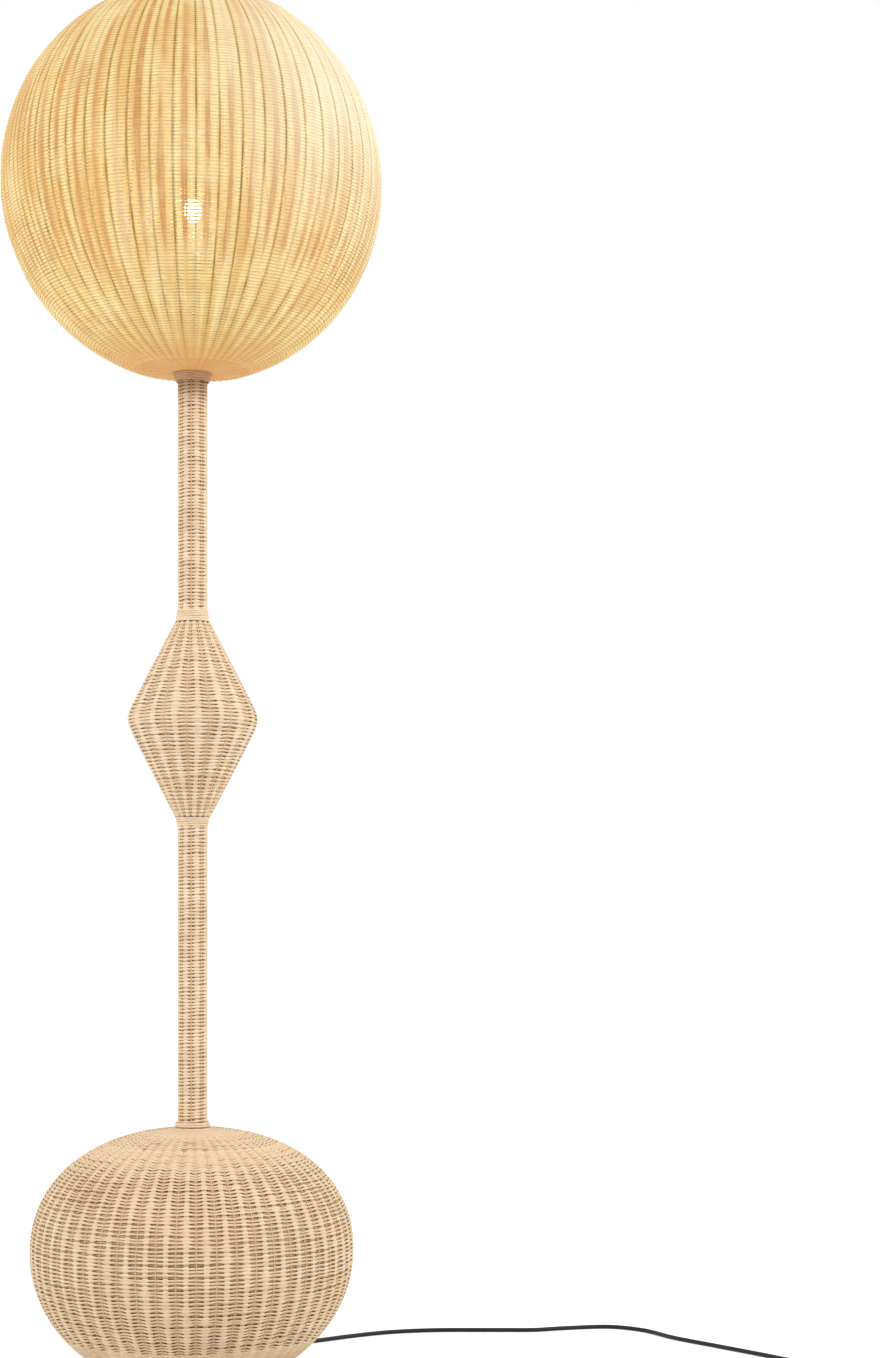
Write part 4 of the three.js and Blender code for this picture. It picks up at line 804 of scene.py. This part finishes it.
def lit_cane(name, bands, strength, painted_light_tone):
    """Cane with light behind it: its colour follows the attribute "phase", from the stake to the middle
    of the period, with painted shade at the edges of each strand, and mottled on Object coordinates.
    The bands vary in width and tone from rib to rib by a noise over the turn about the axis, in periods,
    and the height.
    The dark lines fade here and there and near the top. Low down the yellow takes the place of the red,
    the foot turns orange as painted shade, and the upper right is paler as painted light but for its lines.
    Most of what is seen is a painted glow that stands for the bulb's light coming through the cane,
    and a smaller part the light that falls on it."""
    made, tree, shader = new_finish(name)
    strand, place, phase = cane_guides(tree)
    right, back, height = node(tree, "ShaderNodeSeparateXYZ", {0: place}).outputs
    turn = worked(tree, "ARCTAN2", right, worked(tree, "MULTIPLY", back, -1.0))
    in_periods = worked(tree, "MULTIPLY", turn, shade_weave["periods"] / (2 * math.pi))
    rib_place = node(tree, "ShaderNodeCombineXYZ", {0: in_periods, 1: height}).outputs[0]
    rib_width = clouds(tree, rib_place, 1, 2, (0.9, 7, 1))
    rib_tone = clouds(tree, rib_place, 1, 2, (1.3, 5, 1), (40, 9, 0))
    line_tone = clouds(tree, rib_place, 1, 3, (0.55, 22, 1), (90, 3, 0))
    mottle = clouds(tree, place, 30, 3, (1, 1, 0.35))
    fibre = clouds(tree, strand, 1, 4, fibre_stretch)
    length = clouds(tree, strand, 1, 2, (2.3, 0.6, 1), (7, 3, 0))

    banded = worked(tree, "ADD", phase, between(tree, rib_width, 0.3, 0.7, -0.16, 0.16))
    banded = worked(tree, "MAXIMUM", banded, 0.2)
    yellower = {0: between(tree, height, 1.27, 1.2), 2: banded, 3: between(tree, phase, 0, 1, 0.08, 0.3)}
    banded = node(tree, "ShaderNodeMix", yellower).outputs[0]
    past_line = {0: between(tree, phase, 0.12, 0.2), 2: phase, 3: banded}
    ramp = node(tree, "ShaderNodeValToRGB", {"Fac": node(tree, "ShaderNodeMix", past_line).outputs[0]})
    stops = ramp.color_ramp.elements
    for _ in bands[2:]:
        stops.new(0.5)
    for stop, (at, colour) in zip(stops, bands):
        stop.position = at
        stop.color = colour
    line_faded = between(tree, line_tone, 0.45, 0.7, 0, 0.5)
    line_faded = worked(tree, "MAXIMUM", line_faded, between(tree, height, 1.52, 1.58, 0, 0.4))
    line_faded = worked(tree, "MULTIPLY", line_faded, between(tree, phase, 0.1, 0.09))

    share_round = node(tree, "ShaderNodeSeparateXYZ", {0: strand}).outputs[1]
    across = worked(tree, "SINE", worked(tree, "MULTIPLY", share_round, 2 * math.pi))
    # Painted shade at the edges of each strand, deeper low on the globe.
    edge_shade_most = between(tree, height, 1.32, 1.22, 0.58, 0.8)
    painted_edge_shade = between(tree, worked(tree, "ABSOLUTE", across), 0.55, 0.95, 0, edge_shade_most)
    painted_edge_shade = worked(tree, "MULTIPLY", painted_edge_shade, between(tree, phase, 0.9, 0.65, 0.3, 1))
    # Painted light: the upper right of the globe is paler.
    painted_light_right = worked(tree, "MULTIPLY", between(tree, right, 0, 0.17), between(tree, height, 1.26, 1.44))
    painted_light_right = worked(tree, "MULTIPLY", painted_light_right, between(tree, phase, 0.08, 0.14, 0.2, 0.7))

    colour = toned(
        tree, mix_colours(tree, line_faded, ramp.outputs[0], in_light(226, 190, 118)),
        (rib_tone, 0.52, 0.66, 0.6, in_light(232, 180, 110)),
        (rib_tone, 0.48, 0.34, 0.6, in_light(255, 234, 184)),
        (mottle, 0.5, 0.72, 0.5, in_light(228, 176, 108)),
        (mottle, 0.48, 0.3, 0.5, in_light(255, 236, 184)),
        (length, 0.5, 0.7, 0.35, in_light(240, 192, 122)),
        (fibre, 0.5, 0.8, 0.35, in_light(190, 136, 72)),
    )
    colour = mix_colours(tree, painted_edge_shade, colour, in_light(190, 148, 82))
    # Painted shade: the foot of the globe turns a darker orange.
    colour = toned(tree, colour, (height, 1.192, 1.17, 0.65, in_light(225, 165, 97)))
    colour = mix_colours(tree, painted_light_right, colour, painted_light_tone)
    feed(tree, shader, {
        "Emission Color": colour, "Emission Strength": strength,
        "Base Color": mix_colours(tree, 0.56, colour, (0, 0, 0, 1)),
        "Roughness": between(tree, fibre, 0.3, 0.7, 0.5, 0.7), "Specular IOR Level": 0.25,
    })
    return made


line_dark = in_light(150, 110, 52)
shade_bands = [
    (0, line_dark), (0.07, line_dark), (0.12, in_light(236, 202, 128)), (0.36, in_light(253, 232, 164)),
    (0.7, in_light(243, 210, 140)), (0.84, in_light(205, 148, 90)), (1, in_light(214, 158, 98)),
]
glowing_cane = lit_cane("glowing_cane", shade_bands, 0.55, in_light(255, 246, 218))
shade_end = shade_outline["length"][-1]
for number, skin in enumerate(weavers(shade_outline, 0.4 * mm, shade_end - 1 * mm, shade_weave, 4, 41), 1):
    piece(f"shade_weavers_{number}", [skin], glowing_cane, "lamp", "lit_rattan", "shade_weave")
shade_stakes = [stakes(shade_outline, 0, shade_end, 60, shade_weave, kind) for kind in ("single", "pair")]
piece("shade_stakes", shade_stakes, glowing_cane, "lamp", "lit_rattan")

# Globe, ends. A flat strand bound round a ring closes the opening at the top, and a close winding
# over the ends of the stakes makes the cap at the bottom, which hangs a little in the middle.
border_ring, border_height, border_core = 67.37 * mm, 1591.39 * mm, 3.6 * mm
wraps, steps_to_wrap, binding_phase = 96, 12, 0.62


def hoop(ring, height, thick, sides, phase=None):
    """A round section, whose radius is thick, carried round the axis at a ring's radius and height."""
    at = np.linspace(0, 2 * np.pi, 12, endpoint=False)
    section = np.c_[ring + thick * np.cos(at), height + thick * np.sin(at)]
    return loft(turned(section, sides), wrapped=True, phase=phase)


bound = np.linspace(0, 2 * np.pi, wraps * steps_to_wrap + 1)
wrap_out, wrap_up = np.cos(wraps * bound)[:, None], np.sin(wraps * bound)[:, None]
binding_out = wrap_out * around(1, 0, bound) + wrap_up * np.array([0, 0, 1])
binding = around(border_ring, border_height, bound) + border_core * binding_out
binding_skin = loft(rods(binding[None], binding_out[None], 0.7 * mm, 2.5 * mm, 8), phase=binding_phase)
core_skin = hoop(border_ring, border_height, border_core, 72, binding_phase)
piece("shade_binding", [binding_skin, core_skin], glowing_cane, "lamp", "lit_rattan", "shade_border")
cap_rim_height, cap_sag, cap_rim = 1166.27, 4.8, 66.44
cap_radius = np.linspace(9.6, 66.3, 40)
cap_height = cap_rim_height - cap_sag * (1 - (cap_radius / cap_rim) ** 2)
cap_outline = outline_of(cap_radius * mm, cap_height * mm)
cap_wound = {
    **shade_weave, "pitch": 3 * mm, "half_out": 0.65 * mm, "marks": even_marks,
    "widths": ((0, 1), (1.6 * mm, 1.6 * mm)),
}
cap_end = cap_outline["length"][-1]
cap = weavers(cap_outline, 1.7 * mm, cap_end - 0.8 * mm, cap_wound, 1, 42, (0.1, 0.8))
cap_bands = [(0, in_light(226, 166, 100)), (0.3, in_light(244, 190, 116)), (1, in_light(240, 184, 112))]
cap_cane = lit_cane("glowing_cap_cane", cap_bands, 0.52, in_light(244, 200, 136))
piece("shade_cap_winding", cap, cap_cane, "lamp", "lit_rattan", "shade_bottom_cap")

# Globe, inside. A welded cage of round wire with a flat three-armed spider at its foot, held
# on the stem cap by a washer and a nut, and the threaded riser that carries the lampholder.
wire, cage_depth, cage_short = 2 * mm, 6.3 * mm, 8 * mm
cage_runs = np.broadcast_to(np.linspace(0, shade_end - cage_short, 60), (6, 60))
cage_turn = np.broadcast_to(np.pi / 3 * np.arange(6)[:, None], cage_runs.shape)
rib_line, rib_out = on_outline(shade_outline, cage_runs, cage_turn, -cage_depth)
cage = [loft(rods(rib_line, rib_out, wire, wire, 12))]
cage += [hoop(math.hypot(end[0], end[1]), end[2], wire, 96) for end in rib_line[0, [0, -1]]]
spider_foot, spider_thick, hub_bore, hub_radius, arm_half_width = np.array([1171, 2.5, 5.4, 16, 4]) * mm
hub = np.array([[hub_bore, 0], [hub_radius, 0], [hub_radius, spider_thick], [hub_bore, spider_thick]])
cage.append(loft(turned(hub + [0, spider_foot], 48), wrapped=True))
section = np.array([[-1, 0], [1, 0], [1, 1], [-1, 1]])
for turn in 2 * np.pi / 3 * np.arange(3):
    forward, across = around(1, 0, turn), around(1, 0, turn + np.pi / 2)
    ends = np.array([hub_radius - 1 * mm, -rib_line[0, 0, 1]])[:, None, None] * forward
    bar = ends + arm_half_width * section[:, :1] * across + section[:, 1:] * [0, 0, spider_thick]
    cage.append(loft(bar[None] + [0, 0, spider_foot]))
piece("shade_cage", cage, plated, "lamp", "bright_steel", "shade_frame", sharp=40)
riser_foot, riser_length, thread_radius, thread_depth = 1146.2, 107, 4.75, 0.25
thread_at = np.arange(0, riser_length + 0.1, 0.25)
riser = np.c_[thread_radius + thread_depth * np.cos(2 * np.pi * thread_at), riser_foot + thread_at] * mm
piece("threaded_riser", [loft(turned(riser, 24))], plated, "lamp", "bright_steel", "riser_pipe")
paint(plated, "shade_washer", "shade_nut")

# Lampholder and bulb. A black two-part lampholder with a ring at its mouth, and an opal bulb
# on a threaded brass cap, whose bright heart shows through the gaps of the weave.
holder_dome = np.array([
    [5.4, 1243.5], [8.6, 1243.6], [9.4, 1244.4], [9.6, 1247], [11, 1249], [14.4, 1251], [17.2, 1253.4],
    [18.9, 1256.6], [19.5, 1260], [19.5, 1263.5], [18, 1263.5], [18, 1258], [16, 1254.5], [12, 1252.2],
    [5.4, 1250],
]) * mm
holder_shell = np.array([
    [19.1, 1263.8], [19.5, 1264.3], [19.5, 1291], [19.9, 1292.2], [21, 1293.4], [21.3, 1294.8],
    [21.1, 1296.4], [20.2, 1297.5], [18.6, 1297.8], [16.6, 1297.4], [16, 1296.4], [16, 1263.8],
]) * mm
black_moulded("holder_dome", [loft(turned(holder_dome, 64), wrapped=True)], "lampholder_cap", 50)
black_moulded("holder_shell", [loft(turned(holder_shell, 64), wrapped=True)], "lampholder_shell", 50)
glazed = moulding("glazed_core", in_light(236, 230, 218), 0.25, 600, 0.05 * mm)
paint(glazed, "lampholder_core")
paint(plug_brass, "lampholder_contact", "thread_sleeve")
screw_radius, screw_depth, screw_pitch, screw_foot = 12.85, 0.35, 3.6, 1279.6
screw_at = np.linspace(0, 20.5, 165)
screwed = screw_radius + screw_depth * np.cos(2 * np.pi * screw_at / screw_pitch)
cap_profile = np.vstack([
    [[3, 1275.1], [4, 1275.4], [9.4, 1278.6], [12, 1279.4]], np.c_[screwed, screw_foot + screw_at],
]) * mm
piece("bulb_screw_cap", [loft(turned(cap_profile, 48))], plug_brass, "bulb", "brass_parts", "bulb_cap")
glass_radius, glass_height, neck_radius, neck_foot, neck_ease = 30, 1350.1, 12.6, 1300.4, 5
glass_at = np.linspace(-math.pi / 4, math.pi / 2 - 0.05, 30)
glass_round = np.c_[glass_radius * np.cos(glass_at), glass_height + glass_radius * np.sin(glass_at)]

# The neck runs up straight and swells into the round glass along a cubic Bezier curve.
shoulder = glass_round[0]
neck_middle = [neck_radius, (neck_foot + shoulder[1]) / 2]
neck_points = np.array([[neck_radius, neck_foot], neck_middle, shoulder - neck_ease, shoulder])
neck_at = np.linspace(0, 1, 14)[:-1]
neck_share = np.stack([
    (1 - neck_at) ** 3, 3 * neck_at * (1 - neck_at) ** 2, 3 * neck_at ** 2 * (1 - neck_at), neck_at ** 3,
])
glass = np.vstack([neck_share.T @ neck_points, glass_round]) * mm


def glowing(name, grain, first, second, strength, **more):
    """A finish that glows in two tones, clouded on Object coordinates, with more inputs by name."""
    made, tree, shader = new_finish(name)
    place = node(tree, "ShaderNodeTexCoord").outputs["Object"]
    tone = mix_colours(tree, clouds(tree, place, grain), first, second)
    feed(tree, shader, {"Base Color": tone, "Emission Color": tone, "Emission Strength": strength, **more})
    return made


opal = glowing(
    "opal_glass", 90, in_light(255, 236, 200), in_light(255, 244, 222), 0.08, Roughness=0.25, Alpha=0.03
)
bright = glowing("bright_heart", 200, in_light(255, 232, 190), in_light(255, 250, 236), 150)
piece("bulb_globe", [loft(turned(glass, 64))], opal, "bulb", "opal_bulb", "bulb_glass")
heart_radius, heart_half_height, heart_height = 10, 14, 1351
heart_at = np.linspace(-math.pi / 2 + 0.1, math.pi / 2 - 0.1, 20)
heart = np.c_[heart_radius * np.cos(heart_at), heart_height + heart_half_height * np.sin(heart_at)] * mm
piece("bulb_heart", [loft(turned(heart, 24))], bright, "bulb", "opal_bulb")
glow = bpy.data.lights.new("bulb_light", "POINT")
glow.energy = 1.5
glow.color = (1, 0.72, 0.38)
glow.shadow_soft_size = 32 * mm
bulb_light = bpy.data.objects.new("bulb_light", glow)
bulb_light.location = (0, 0, 1.4)
scene.collection.objects.link(bulb_light)
